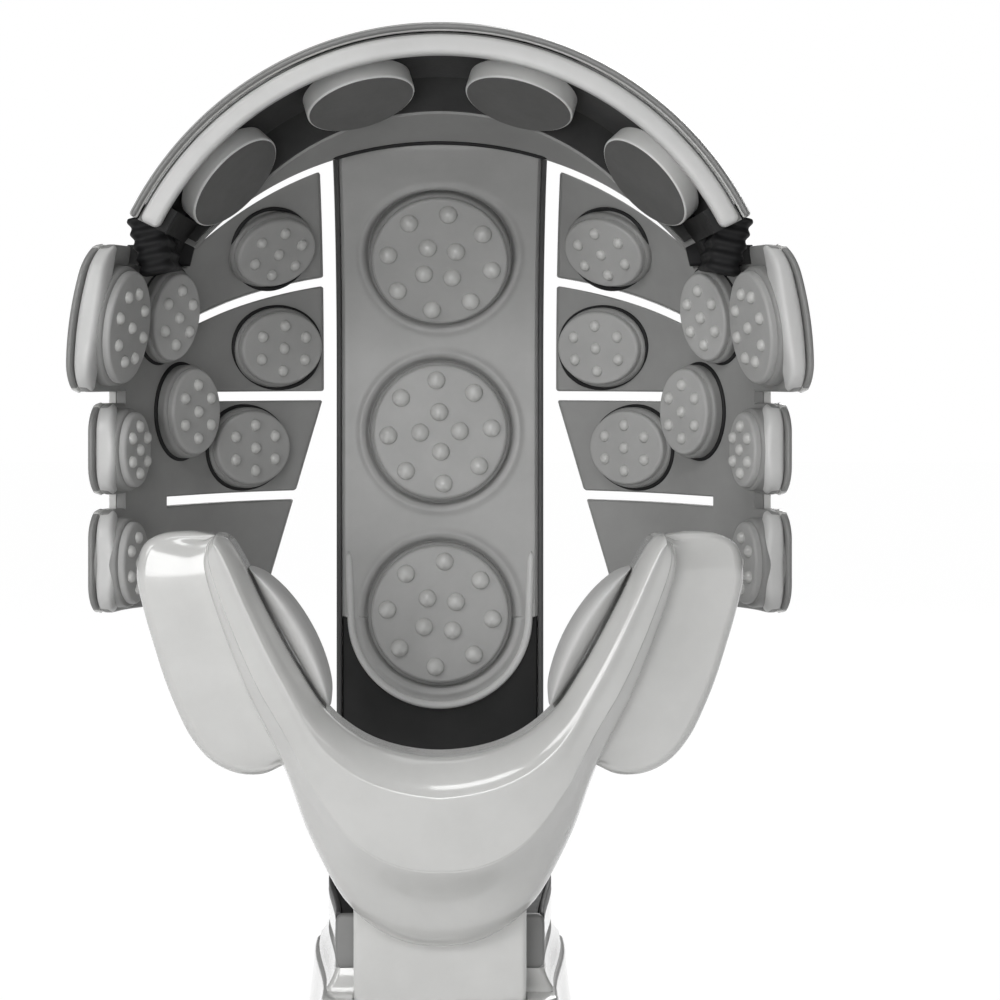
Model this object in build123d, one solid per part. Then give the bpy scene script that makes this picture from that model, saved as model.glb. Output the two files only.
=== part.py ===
from build123d import *
import os
from math import acos, cos, degrees, radians, sin, sqrt, tan

# ---------------------------------------------------------------------------
# Driving dimensions, millimetres. +Z is up, -Y is the open front of the cap,
# and the origin is the middle of the rubber foot's underside.
# "Head frame" means measured from the middle of the cap.
# ---------------------------------------------------------------------------

HEAD_Y = -8.0  # middle of the cap, from the foot's middle

# the cap's wall, in plan: a round back, a flared cheek and a straighter lip
CAP_R = 88.0  # inner radius of the round back
CHEEK_ANGLE = 58.0  # where the round back ends, from straight back
CHEEK_LENGTH = 32.0
BEND_R = 40.0  # bend between the cheek and the lip
LIP_ANGLE = 76.0
LIP_LENGTH = 34.0
LINER_WALL = 3.0
SKIN_GAP = 0.3  # between a liner and the skin over it
SKIN_WALL = 2.2

# the gaps that part the cap into bands
GAP = 3.0
BAND_ANGLES = (54.0, 21.5)  # sloping gaps, above the horizontal
BAND_LEVELS = (-8.5, -41.0)  # level gaps
SLIT_X = 38.5  # inner ends of the side bands
SLIT_FLARE_X = 57.0  # the same at the foot of the lowest band
SIDE_TOP_Z = 37.0
SIDE_FOOT_Z = -73.0
FRAME_FRONT_Y = 11.0  # front and back of the strip that joins the bands to the lobes
FRAME_BACK_Y = 30.0
LOBES = ((-23.0, -6.5, 37.0), (-6.0, -37.5, -10.0), (-6.0, -73.0, -42.0))  # front y, foot z, top z
LOBE_ROUND = 9.0

# crown band
CROWN_RISE = 15.5
CROWN_R = CAP_R + CROWN_RISE  # outside radius of the crown's skin
CROWN_SKIN = 2.5
CROWN_LINER = 2.5
CROWN_GAP = 0.5  # between the channel's liner and the skin
CROWN_FRONT_Y = -20.0
CROWN_END = 63.5  # half the arc that the band spans
CHANNEL_R = CROWN_R - CROWN_SKIN - CROWN_GAP - CROWN_LINER  # floor of the smooth pads' channel
CHANNEL_BACK_Y = 36.0
CROWN_BACK_Y = CAP_R - 8.0  # further back than the band reaches
RIM_DEPTH = 5.5
RIM_ROUND = 1.2
END_BLOCK = (6.5, 2.3)  # depth of the block in each end of the band, and half the arc it fills
SEAM = 0.4
RIM_WIDTH = 7.6
RIM_OUTER_R = sqrt((CROWN_R - CROWN_SKIN) ** 2 - CROWN_FRONT_Y**2) - SEAM

# spine: the wide strap and the tail that carries it
SPINE_HALF = 34.5  # half its width, over the skin
SPINE_WALL = 2.2
SPINE_DEPTH = 15.5  # from the strap's inner face to the back of the skin
SPINE_DROP = 110.0  # straight part, below the cap's middle
TAIL_R = 46.0  # inside bend under the cap
TAIL_FRONT_Y = -36.0
TAIL_FLARE = 3.0
TONGUE_R = 30.0
TONGUE_Z = 28.0 - SPINE_DROP  # middle of the strap's round end
NAPE_RECESS = 0.8

# pads
PAD_PLAY = 0.3
KNEAD_R = (23.5, 23.5, 24.0)
KNEAD_PLACE = (25.5, TONGUE_Z + 61.5, TONGUE_Z + 1.0)  # first by angle, the others by height
KNEAD_TRAVEL = 2.0
KNEAD_PROUD = (6.0, 3.6, 3.0)
NUB_R = 3.4
NUB_HEIGHT = 2.6
SMALL_NUB_R = 2.4
SMALL_NUB_HEIGHT = 1.9
NUB_RINGS = ((8, 0.7, 22.5), (4, 0.27, 45.0))  # count, share of the radius and start angle
SMALL_NUB_RING = 0.62
FACE_THICK = 2.2
FACE_INSET = 1.2
CARRIER_BACK = 0.6  # how far the carrier reaches behind the strap
MOTOR_R = 9.0
MOTOR_CLEAR = 0.7  # behind the motor when its pad is pressed home
MOTOR_LENGTH = SPINE_DEPTH - SPINE_WALL - LINER_WALL - CARRIER_BACK - KNEAD_TRAVEL - MOTOR_CLEAR

# pads on the side panels: y and z on the wall, half width and height, height over the wall,
# turn towards the open front, nubs round the middle one
BAND_PADS = (
    (56.0, 39.5, 17.0, 13.0, 5.5, 0.0, 6),
    (69.0, 7.5, 17.0, 13.0, 5.5, 0.0, 6),
    (61.0, -25.0, 17.0, 13.0, 5.5, 0.0, 6),
)
TEMPLE_PADS = (
    (25.5, 17.2, 11.5, 14.8, 7.0, 4.0, 6),
    (36.0, -13.0, 12.5, 14.6, 7.0, 4.0, 6),
)
LOBE_PADS = (
    (-6.5, 13.5, 14.5, 18.0, 8.0, 6.0, 8),
    (5.0, -24.0, 10.0, 12.5, 7.0, 6.0, 6),
    (4.0, -58.0, 10.0, 13.5, 7.0, 6.0, 6),
)
CUP_GAP = 0.25  # between a cup and the wall it is glued to

# smooth pads under the crown band
CROWN_PAD_ANGLES = (15.5, 47.3)  # from the top, on both sides
CROWN_PAD_R = 17.0
CROWN_PAD_THICK = 5.0
CROWN_FACE_THICK = 1.0
CROWN_FACE_INSET = 1.4
CROWN_PAD_PLACE = (CHANNEL_R - 13.5, 15.0)  # distance from the axis and depth of the face's middle
CROWN_PAD_TILT = 27.0
CROWN_POST_R = 7.0

# hinge at each temple
HINGE_R = CHANNEL_R - 2.5
HINGE_ANGLE = 66.6
HINGE_Y = (1.0, 27.0)
HINGE_EAR = 4.5
KNUCKLE_R = 4.2
PIN_R = 1.6
PIN_PLAY = 0.05
PIN_FIT = 0.01  # how much thinner than its hole the pin is, in the ears
WEB_WIDTH = 12.0
WEB_Z = 18.0  # foot of the knuckle's web
WEB_PLAY = 0.2
HINGE_SIDE_PLAY = 0.3
NOTCH_MARGIN = 1.5  # room round the barrel in the side panel

# yoke
YOKE_FRONT_Y = -68.0
YOKE_SPLIT_Y = -50.0
YOKE_WALL = 2.5
YOKE_EDGE = ((3.0, 0.0), (0.9, 2.5), (0.0, 6.0))  # inset of the outline at depths behind the front
YOKE_BACK = 3.5
STEM_HALF = 24.5
STEM_DEPTH = 8.5
STEM_PLAY = 0.3
STEM_TRAVEL = 12.0
WING_THICK = 9.0
NECK_PAD_DEPTH = 24.0

# half outlines of the yoke and what it carries, seen from the front: (x, z)
YOKE_INSIDE = ((0, -107.4), (17.0, -104.4), (30.0, -96.0), (39.5, -82.5), (48.5, -66.0), (54.8, -53.0))
YOKE_TIP = ((59.0, -46.6), (64.6, -47.8))
YOKE_OUTSIDE = (
    (65.2, -60.0),
    (55.0, -87.0),
    (44.0, -110.0),
    (36.5, -131.0),
    (26.5, -149.5),
    (14.0, -159.5),
    (0, -162.5),
)
WING_OUTSIDE = (
    (66.4, -45.5),
    (76.0, -46.5),
    (84.4, -51.0),
    (85.2, -58.0),
    (80.5, -77.0),
    (74.5, -94.0),
    (67.0, -107.5),
    (59.0, -113.0),
    (51.0, -113.4),
    (46.0, -109.5),
)
NECK_PAD_INSIDE = ((52.8, -54.8), (45.0, -60.5), (37.5, -69.0), (32.3, -79.5), (30.2, -88.5), (30.4, -94.0))
WING_GAP = 0.9
WING_OVERLAP = 4.0  # how far the wing's rough outline reaches under the yoke, before it is cut
NECK_PAD_OVERLAP = 3.0
NECK_PAD_SET_BACK = 5.0  # behind the yoke's front

# base
BASE_R = 84.0
BASE_WALL = 2.6
FOOT_THICK = 2.0
PLATE_THICK = 2.5
BASE_SHOULDER_Z = 10.0  # where the upright edge turns into the dome
BASE_TOP_Z = 24.0
DOME_REACH = 30.0
WEIGHT_THICK = 9.0
SOCKET_Y = BASE_R - 12.0
CHARGER_Y = SOCKET_Y - 8.5
WEIGHT_R = CHARGER_Y - 3.5
BATTERY_SIZE = (62.0, 36.0, 7.5)
BATTERY_Y = 4.0
BATTERY_ROUND = 3.0
STEM_END_CLEAR = 5.0  # over the battery, with the stem pushed down
STEM_END_Z = FOOT_THICK + PLATE_THICK + WEIGHT_THICK + BATTERY_SIZE[2] + STEM_TRAVEL + STEM_END_CLEAR
SCREW_RING_R = BASE_R - 12.0
SCREW_LENGTH = 10.0
SCREW_HEAD_THICK = 1.5
BOSS_R = 4.0
COLLAR_ROUND = 10.0
SOCKET_Z = 9.5
SOCKET_SIZE = (9.0, 11.6, 3.3)
SOCKET_MOUTH = (7.6, 6.6, 1.9)
SOCKET_PLAY = 0.2
CHARGER_SIZE = (22.0, 15.0, 1.4)
CHARGER_POSTS = (8.0, 2.0)  # half their distance, and their radius
COLLAR_TOP_Z = 57.0
FLANGE_HEIGHT = 6.5
HEAD_Z = COLLAR_TOP_Z + FLANGE_HEIGHT + SPINE_DEPTH + TAIL_R + SPINE_DROP  # the cap's middle, above the floor
COLLAR_MARGIN = 3.4
SCREW_R = 1.6
SCREW_HEAD_R = 3.0

# controls on the back of the spine
BUTTON_TRAVEL = 0.8
BUTTON_PROUD = 1.4
POWER_R = 7.0
KEY_HALF = (8.0, 3.4)
BUTTON_PLAY = 0.25
CONTROL_HALF = 13.0
CONTROL_Z = (KNEAD_PLACE[1] - 8.0, KNEAD_PLACE[2] + 9.5)  # between the motors of two pads
POWER_Z = CONTROL_Z[0] - 11.0
KEY_Z = (CONTROL_Z[0] - 26.0, CONTROL_Z[0] - 36.0)
PANEL_DEPTH = 0.8  # of the recess in the skin
PANEL_THICK = 1.3
BOARD_Y = CAP_R + 9.5
BOARD_THICK = 1.6
BOARD_MARGIN = 3.0  # by which the board is shorter than the panel, at each end
BOARD_POSTS = (11.0, 15.5, 1.5)  # half distances between the posts, and their radius
SWITCH_SIZE = 5.0
SWITCH_HEIGHT = 1.4

SKIN_OUT = LINER_WALL + SKIN_GAP + SKIN_WALL
HERE = Location((0, HEAD_Y, HEAD_Z))
Y_AXIS = Vector(0, 1, 0)
STANDS = (Align.CENTER, Align.CENTER, Align.MIN)
HANGS = (Align.CENTER, Align.MIN, Align.CENTER)
FAR = 200.0  # longer than anything that is cut


def save(name, *solids):
    """Writes one sub-part, given in the head frame, to its own file."""
    group = [HERE * solid for shape in solids for solid in shape.solids()]
    export_step(Compound(children=group), f"parts/{name}.step")


# ---------------------------------------------------------------------------
# The cap's wall
# ---------------------------------------------------------------------------


def out(angle):
    """Unit vector in plan, pointing out of the wall at this angle from straight back."""
    return Vector(sin(radians(angle)), cos(radians(angle)))


def along(angle):
    """Unit vector in plan, running forward along the wall at this angle."""
    return Vector(cos(radians(angle)), -sin(radians(angle)))


CHEEK_START = CAP_R * out(CHEEK_ANGLE)
CHEEK_END = CHEEK_START + CHEEK_LENGTH * along(CHEEK_ANGLE)
BEND_MIDDLE = CHEEK_END - BEND_R * out(CHEEK_ANGLE)
LIP_START = BEND_MIDDLE + BEND_R * out(LIP_ANGLE)
LIP_END = LIP_START + LIP_LENGTH * along(LIP_ANGLE)


def wall_line(step):
    """Plan line of the wall, moved outwards by step, from the back to the front edge."""
    cheek, lip = step * out(CHEEK_ANGLE), step * out(LIP_ANGLE)
    bend = LIP_ANGLE - CHEEK_ANGLE
    return [
        CenterArc((0, 0), CAP_R + step, 90, -CHEEK_ANGLE),
        Line(CHEEK_START + cheek, CHEEK_END + cheek),
        CenterArc(BEND_MIDDLE, BEND_R + step, 90 - CHEEK_ANGLE, -bend),
        Line(LIP_START + lip, LIP_END + lip),
    ]


def plan_of_wall(inner, outer):
    """Right half of the wall in plan, between two steps outwards."""
    near, far = wall_line(inner), wall_line(outer)
    back = Line((0, CAP_R + inner), (0, CAP_R + outer))
    front = Line(near[-1] @ 1, far[-1] @ 1)
    return make_face([back, front, *near, *far])


def wall(inner, outer):
    """The whole wall: a turned dome above the middle, straight sides below it."""
    half = plan_of_wall(inner, outer)
    dome = revolve(half, Axis((0, 0, 0), (0, -1, 0)), 180)
    skirt = extrude(half, SIDE_FOOT_Z - 20)
    return dome + skirt + mirror(skirt, Plane.YZ)


def wall_at(y):
    """Radius and outward angle of the wall at a depth, on its inner face."""
    if y >= CHEEK_START.Y:
        angle = degrees(acos(y / CAP_R))
        return CAP_R * sin(radians(angle)), angle
    if y >= CHEEK_END.Y:
        share = (CHEEK_START.Y - y) / (CHEEK_START.Y - CHEEK_END.Y)
        return CHEEK_START.X + share * (CHEEK_END.X - CHEEK_START.X), CHEEK_ANGLE
    if y >= LIP_START.Y:
        angle = degrees(acos((y - BEND_MIDDLE.Y) / BEND_R))
        return BEND_MIDDLE.X + BEND_R * sin(radians(angle)), angle
    return LIP_START.X + (LIP_START.Y - y) / tan(radians(LIP_ANGLE)), LIP_ANGLE


def side_view(*points):
    """A closed outline of (y, z) points, as a face in the plane x = 0."""
    return Plane.YZ * make_face(Polyline(*points, close=True))


def slab(face, low, high):
    """A face in the plane x = 0, carried across from x = low to x = high."""
    return extrude(Pos(low, 0, 0) * face, high - low, dir=(1, 0, 0))


def sloping_gap(angle):
    """Side view of a sloping gap, from the side frame to the back."""
    half, reach = GAP / 2 / cos(radians(angle)), 160.0
    start, rise = FRAME_BACK_Y, tan(radians(angle))
    return side_view(
        (start, start * rise - half),
        (reach, reach * rise - half),
        (reach, reach * rise + half),
        (start, start * rise + half),
    )


# ---------------------------------------------------------------------------
# Side panels: four bands at the back and three lobes at the front
# ---------------------------------------------------------------------------


def side_outline():
    """Side view of a side panel, without its gaps."""
    slope, lift = tan(radians(BAND_ANGLES[0])), GAP / cos(radians(BAND_ANGLES[0])) / 2
    reach = 120.0
    shape = make_face(
        Polyline(
            (FRAME_FRONT_Y, SIDE_TOP_Z),
            ((SIDE_TOP_Z + lift) / slope, SIDE_TOP_Z),
            (reach, reach * slope - lift),
            (reach, SIDE_FOOT_Z),
            (FRAME_FRONT_Y, SIDE_FOOT_Z),
            close=True,
        )
    )
    for front, foot, top in LOBES:
        back = FRAME_FRONT_Y + 1
        lobe = make_face(Polyline((front, foot), (back, foot), (back, top), (front, top), close=True))
        shape += fillet(lobe.vertices().filter_by(lambda corner: corner.X < front + 1), LOBE_ROUND)
    return Plane.YZ * shape


def side_panel(inner, outer):
    """One layer of the left side panel."""
    panel = wall(inner, outer) & slab(side_outline(), -FAR, -SLIT_X)
    for angle in BAND_ANGLES[1:]:
        panel -= slab(sloping_gap(angle), -FAR, 0)
    for level in BAND_LEVELS:
        cut = Box(FAR, FAR, GAP, align=(Align.MAX, Align.MIN, Align.CENTER))
        panel -= Pos(0, FRAME_BACK_Y, level) * cut
    slant = make_face(
        Polyline(
            (0, BAND_LEVELS[0] + 30),
            (-SLIT_X, BAND_LEVELS[0]),
            (-SLIT_FLARE_X, SIDE_FOOT_Z),
            (-SLIT_FLARE_X, SIDE_FOOT_Z - 30),
            (0, SIDE_FOOT_Z - 30),
            close=True,
        )
    )
    panel -= extrude(Plane.XZ * slant, -150)
    upright = (Align.CENTER, Align.CENTER, Align.MIN)
    notch = Box(60, HINGE_Y[1] - HINGE_Y[0] + 2 * NOTCH_MARGIN, 40, align=upright)
    panel -= Pos(HINGE_X, sum(HINGE_Y) / 2, HINGE_Z - KNUCKLE_R - NOTCH_MARGIN) * notch
    window = Box(60, WEB_WIDTH + 2 * WEB_PLAY, 30, align=upright)
    panel -= Pos(HINGE_X, sum(HINGE_Y) / 2, WEB_Z - WEB_PLAY) * window
    return max(panel.solids(), key=lambda solid: solid.volume)


HINGE_X = -HINGE_R * sin(radians(HINGE_ANGLE))
HINGE_Z = HINGE_R * cos(radians(HINGE_ANGLE))


def hinge_rod(radius, low, high):
    """A round bar on the left temple's axis."""
    return Pos(HINGE_X, low, HINGE_Z) * Rot(-90, 0, 0) * Cylinder(
        radius, high - low, align=(Align.CENTER, Align.CENTER, Align.MIN)
    )


def knuckle():
    """The side panel's half of the hinge: a barrel on a web that fills a window in the panel."""
    low, high = HINGE_Y[0] + HINGE_EAR + HINGE_SIDE_PLAY, HINGE_Y[1] - HINGE_EAR - HINGE_SIDE_PLAY
    barrel = hinge_rod(KNUCKLE_R, low, high)
    column = Box(60, WEB_WIDTH, HINGE_Z - WEB_Z, align=(Align.CENTER, Align.CENTER, Align.MIN))
    web = wall(WEB_PLAY, SKIN_OUT - WEB_PLAY) & (Pos(HINGE_X, (low + high) / 2, WEB_Z) * column)
    return barrel + web - hinge_rod(PIN_R + PIN_PLAY, low - 1, high + 1)


# ---------------------------------------------------------------------------
# Crown band
# ---------------------------------------------------------------------------


def turned(profile, half_arc, centre=0.0):
    """A (radius, y) profile turned about the front-to-back axis, centred on the top."""
    face = Rot(0, -90 + half_arc + centre, 0) * profile
    return revolve(face, Axis((0, 0, 0), (0, -1, 0)), 2 * half_arc)


def ball_arc(radius, start_y, end_y):
    """An arc of a ball of this radius, between two depths, in (radius, y)."""
    start, end = degrees(acos(start_y / radius)), degrees(acos(end_y / radius))
    return CenterArc((0, 0), radius, 90 - start, start - end)


def ball_point(radius, y):
    return (sqrt(radius * radius - y * y), y)


def outline_of(edges):
    """A face from edges that follow each other, joined by straight lines where they don't meet."""
    closed = []
    for edge, following in zip(edges, edges[1:] + edges[:1]):
        closed.append(edge)
        if (edge @ 1 - following @ 0).length > 1e-6:
            closed.append(Line(edge @ 1, following @ 0))
    return make_face(closed)


def above_band(shift):
    """All that lies above the crown's sloping gap, moved up by shift."""
    angle, reach = BAND_ANGLES[0], 160.0
    rise = shift / cos(radians(angle))
    corner = reach * tan(radians(angle)) + rise
    outline = side_view((-reach, -60), (-1, -60), (-1, rise), (reach, corner), (reach, 300), (-reach, 300))
    return slab(outline, -150, 150)


def crown_liner():
    inner_back, outer_back = CHANNEL_BACK_Y, CHANNEL_BACK_Y + CROWN_LINER
    front = CROWN_FRONT_Y + RIM_DEPTH + 0.2
    profile = outline_of(
        [
            ball_arc(CHANNEL_R, front, inner_back),
            ball_arc(CAP_R, inner_back, CROWN_BACK_Y),
            ball_arc(CAP_R + CROWN_LINER, CROWN_BACK_Y, outer_back),
            ball_arc(CHANNEL_R + CROWN_LINER, outer_back, front),
        ]
    )
    return turned(profile, CROWN_END) & above_band(GAP / 2)


def crown_skin():
    inner = CROWN_R - CROWN_SKIN
    profile = outline_of(
        [ball_arc(inner, CROWN_FRONT_Y + 1, CROWN_BACK_Y), ball_arc(CROWN_R, CROWN_BACK_Y, CROWN_FRONT_Y + 1)]
    )
    skin = turned(profile, CROWN_END) & above_band(GAP / 2)
    flange = outline_of(
        [
            ball_arc(CAP_R + CROWN_LINER + SKIN_GAP, CHANNEL_BACK_Y + 6, CROWN_BACK_Y),
            ball_arc(CROWN_R - 1, CROWN_BACK_Y, CHANNEL_BACK_Y + 6),
        ]
    )
    back = turned(flange, CROWN_END) & above_band(GAP / 2)
    return skin + (back - above_band(GAP / 2 + CROWN_SKIN))


def crown_rim():
    low, high = CROWN_FRONT_Y, CROWN_FRONT_Y + RIM_DEPTH
    inner, outer = RIM_OUTER_R - RIM_WIDTH, RIM_OUTER_R
    profile = make_face(Polyline((inner, low), (outer, low), (outer, high), (inner, high), close=True))
    return turned(fillet(profile.vertices(), RIM_ROUND), CROWN_END)


def crown_end():
    """The block in the band's left end, with the hinge's two ears."""
    depth, half = END_BLOCK
    low, high = CHANNEL_R - depth, CHANNEL_R - SKIN_GAP
    front, back = CROWN_FRONT_Y + RIM_DEPTH + SKIN_GAP, HINGE_Y[1] - 1
    section = outline_of([ball_arc(high, front, back), ball_arc(low, back, front)])
    block = turned(section, half, half - CROWN_END)
    ears = []
    for start in (HINGE_Y[0], HINGE_Y[1] - HINGE_EAR):
        end = start + HINGE_EAR
        reach = outline_of([ball_arc(HINGE_R + 0.6, start, end), ball_arc(low + 0.5, end, start)])
        ears.append(hinge_rod(KNUCKLE_R, start, end) + turned(reach, 2.4, 1.6 - HINGE_ANGLE))
    sweep = hinge_rod(KNUCKLE_R + 0.6, HINGE_Y[0] + HINGE_EAR, HINGE_Y[1] - HINGE_EAR)
    inside = turned(outline_of([ball_arc(high, front, back), ball_arc(CAP_R - 6, back, front)]), 20, -CROWN_END)
    return block + [ear & inside for ear in ears] - sweep - hinge_rod(PIN_R, HINGE_Y[0] - 1, HINGE_Y[1] + 1)


# ---------------------------------------------------------------------------
# Pads
# ---------------------------------------------------------------------------


def facing(point, inward):
    """A plane on the wall: z points into the cap, and y as nearly upwards as it can."""
    inward = inward.normalized()
    rise = (Vector(0, 0, 1) - inward * inward.Z).normalized()
    return Plane(origin=point, x_dir=rise.cross(inward), z_dir=inward)


def wall_seat(y, z, lean=0.0):
    """The plane of a pad on the left side panel, turned by lean."""
    radius, angle = wall_at(y)
    x = -sqrt(radius**2 - max(z, 0) ** 2)
    angle -= lean
    side = Vector(x / radius, 0, max(z, 0) / radius)
    outward = sin(radians(angle)) * side + cos(radians(angle)) * Y_AXIS
    return facing(Vector(x, y, z), outward * -1)


def cap_of(radius, height, sink=0.6):
    """A rounded nub on the plane z = 0, sunk a little so that it joins what it stands on."""
    ball = (radius**2 + height**2) / (2 * height)
    return Pos(0, 0, height - ball) * Sphere(ball) & Pos(0, 0, height / 2) * Box(99, 99, height + 2 * sink)


def ring_of(count, half_x, half_y, start=0.0):
    """Points round an ellipse."""
    steps = [radians(start + 360 * turn / count) for turn in range(count)]
    return [(half_x * cos(step), half_y * sin(step)) for step in steps]


def nubbed_face(half_x, half_y, foot, top, places, radius, height):
    """A silicone disc with nubs on it."""
    disc = extrude(Pos(0, 0, foot) * Ellipse(half_x, half_y), top - foot)
    return disc + [Pos(x, y, top) * cap_of(radius, height) for x, y in places]


def cavity(step):
    """All the room inside the wall, short of it by step."""
    line = wall_line(-step)
    end = line[-1] @ 1
    half = make_face([Line((0, CAP_R - step), (0, end.Y)), Line((0, end.Y), end), *line])
    skirt = extrude(half, -110)
    return revolve(half, Axis((0, 0, 0), (0, -1, 0)), 180) + skirt + mirror(skirt, Plane.YZ)


def side_pads():
    """Cups and nubbed faces of the left side panel's pads."""
    room = cavity(CUP_GAP)
    cups, faces = [], []
    for y, z, half_x, half_y, stand, lean, count in BAND_PADS + TEMPLE_PADS + LOBE_PADS:
        seat = wall_seat(y, z, lean)
        cup = seat * extrude(Pos(0, 0, -12) * Ellipse(half_x, half_y), 12 + stand - FACE_THICK)
        cups.append(max((cup & room).solids(), key=lambda solid: solid.volume))
        inset_x, inset_y = half_x - FACE_INSET, half_y - FACE_INSET
        places = [(0, 0)] + ring_of(count, inset_x * SMALL_NUB_RING, inset_y * SMALL_NUB_RING, 30)
        face = nubbed_face(inset_x, inset_y, stand - FACE_THICK, stand, places, SMALL_NUB_R, SMALL_NUB_HEIGHT)
        faces.append(seat * face)
    return cups, faces


def crown_pads():
    """The four smooth discs: a light cup with a darker face, on a post in the channel."""
    reach, depth = CROWN_PAD_PLACE
    channel = Sphere(CHANNEL_R - CUP_GAP)
    cups, faces = [], []
    for angle in [side * each for side in (-1, 1) for each in CROWN_PAD_ANGLES]:
        outward = Vector(sin(radians(angle)), 0, cos(radians(angle)))
        inward = -cos(radians(CROWN_PAD_TILT)) * outward - sin(radians(CROWN_PAD_TILT)) * Y_AXIS
        seat = facing(reach * outward + depth * Y_AXIS, inward)
        disc = Pos(0, 0, -CROWN_PAD_THICK) * extrude(Circle(CROWN_PAD_R), CROWN_PAD_THICK - CROWN_FACE_THICK)
        disc = fillet(disc.edges().filter_by(GeomType.CIRCLE).sort_by(Axis.Z)[-1:], 0.8)
        post = seat * (Pos(0, 0, -30) * extrude(Circle(CROWN_POST_R), 30.5 - CROWN_PAD_THICK)) & channel
        cups.append(seat * disc + post)
        face = extrude(Circle(CROWN_PAD_R - CROWN_FACE_INSET), CROWN_FACE_THICK)
        faces.append(seat * (Pos(0, 0, -CROWN_FACE_THICK) * face))
    return cups, faces


# ---------------------------------------------------------------------------
# Spine: strap, skin and tail
# ---------------------------------------------------------------------------

SPINE_TOP = BAND_ANGLES[0] + degrees((GAP / 2 - SKIN_GAP) / CROWN_R)  # angle of its top end
LINER_HALF = SPINE_HALF - SPINE_WALL - SKIN_GAP


def spine_face(inner, outer, lower=False):
    """Side view of the spine between two steps outwards; lower is the tail, else the upright part."""
    middle = (CAP_R - TAIL_R, -SPINE_DROP)
    near, far = [], []
    for line, step in ((near, inner), (far, outer)):
        back, foot = CAP_R + step, -SPINE_DROP - TAIL_R - step
        if lower:
            line.append(CenterArc(middle, TAIL_R + step, 0, -90))
            line.append(Line((middle[0], foot), (TAIL_FRONT_Y, foot)))
        else:
            line.append(CenterArc((0, 0), back, SPINE_TOP, -SPINE_TOP))
            line.append(Line((back, 0), (back, -SPINE_DROP)))
    caps = [Line(near[0] @ 0, far[0] @ 0), Line(near[-1] @ 1, far[-1] @ 1)]
    return Plane.YZ * make_face([*near, *far, *caps])


def knead_seat(number):
    """The plane of a kneading pad on the strap's inner face."""
    place = KNEAD_PLACE[number]
    if number == 0:
        outward = Vector(0, cos(radians(place)), sin(radians(place)))
        return facing(CAP_R * outward, outward * -1)
    return facing(Vector(0, CAP_R, place), Vector(0, -1, 0))


def round_end(radius):
    """What cuts the strap's lower end round: all below the middle of its end, less a disc."""
    below = Box(FAR, 60, FAR, align=(Align.CENTER, Align.CENTER, Align.MAX))
    return Pos(0, CAP_R, TONGUE_Z) * (below - Rot(90, 0, 0) * Cylinder(radius, 80))


def strap():
    band = slab(spine_face(0, LINER_WALL), -LINER_HALF, LINER_HALF)
    for number, radius in enumerate(KNEAD_R):
        band -= knead_seat(number) * (Pos(0, 0, -20) * Cylinder(radius + PAD_PLAY, 60))
    return band - round_end(TONGUE_R)


def nape_panel():
    """The darker panel behind the strap's round end, carried forward under the cap."""
    upper = slab(spine_face(NAPE_RECESS, LINER_WALL), -LINER_HALF, LINER_HALF) & round_end(TONGUE_R + PAD_PLAY)
    bend = slab(spine_face(NAPE_RECESS, LINER_WALL, True), -LINER_HALF, LINER_HALF)
    front = Pos(0, TAIL_FRONT_Y, 0) * Box(FAR, 2 * (SPINE_WALL + SKIN_GAP), 999)
    disc = Pos(0, CAP_R, TONGUE_Z) * Rot(90, 0, 0) * Cylinder(TONGUE_R + PAD_PLAY, 60)
    return upper + (bend - disc) - front


def channel(lower=False):
    """The spine's skin: a back wall and two side walls round the strap's edges."""
    solid = slab(spine_face(0, SPINE_DEPTH, lower), -SPINE_HALF, SPINE_HALF)
    inner = LINER_HALF + SKIN_GAP
    hollow = slab(spine_face(-5, SPINE_DEPTH - SPINE_WALL, lower), -inner, inner)
    return solid - hollow


def spine_skin():
    skin = channel()
    top = slab(spine_face(LINER_WALL + SKIN_GAP, SPINE_DEPTH - 1), -SPINE_HALF, SPINE_HALF)
    reach, angle = 160.0, SPINE_TOP - degrees(SPINE_WALL / CAP_R)
    rise = tan(radians(angle))
    skin += top & slab(side_view((0, 0), (reach, reach * rise), (reach, 300), (0, 300)), -99, 99)
    middle, high = sum(CONTROL_Z) / 2, CONTROL_Z[0] - CONTROL_Z[1]
    recess = Box(2 * (CONTROL_HALF + 0.2), 2 * PANEL_DEPTH, high + 0.4)
    skin -= Pos(0, CAP_R + SPINE_DEPTH, middle) * recess
    side, rise, radius = BOARD_POSTS
    start, end = BOARD_Y + BOARD_THICK, CAP_R + SPINE_DEPTH - SPINE_WALL + 0.5
    for x, z in ((-side, -rise), (-side, rise), (side, -rise), (side, rise)):
        post = Cylinder(radius, end - start, align=STANDS)
        skin += Pos(x, start, middle + z) * Rot(-90, 0, 0) * post
    return skin - button_holes()


def tail_skin():
    skin = channel(True)
    block = slab(spine_face(0, SPINE_DEPTH, True), -SPINE_HALF, SPINE_HALF)
    front = Pos(0, TAIL_FRONT_Y, 0) * Box(FAR, 2 * SPINE_WALL, 999)
    return skin + (block & front)


TAIL_FOOT_Z = -SPINE_DROP - TAIL_R - SPINE_DEPTH
COLLAR_Z = COLLAR_TOP_Z - HEAD_Z
TAIL_BACK_Y = CAP_R - TAIL_R
TAIL_MIDDLE_Y = (TAIL_FRONT_Y + TAIL_BACK_Y) / 2


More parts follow.
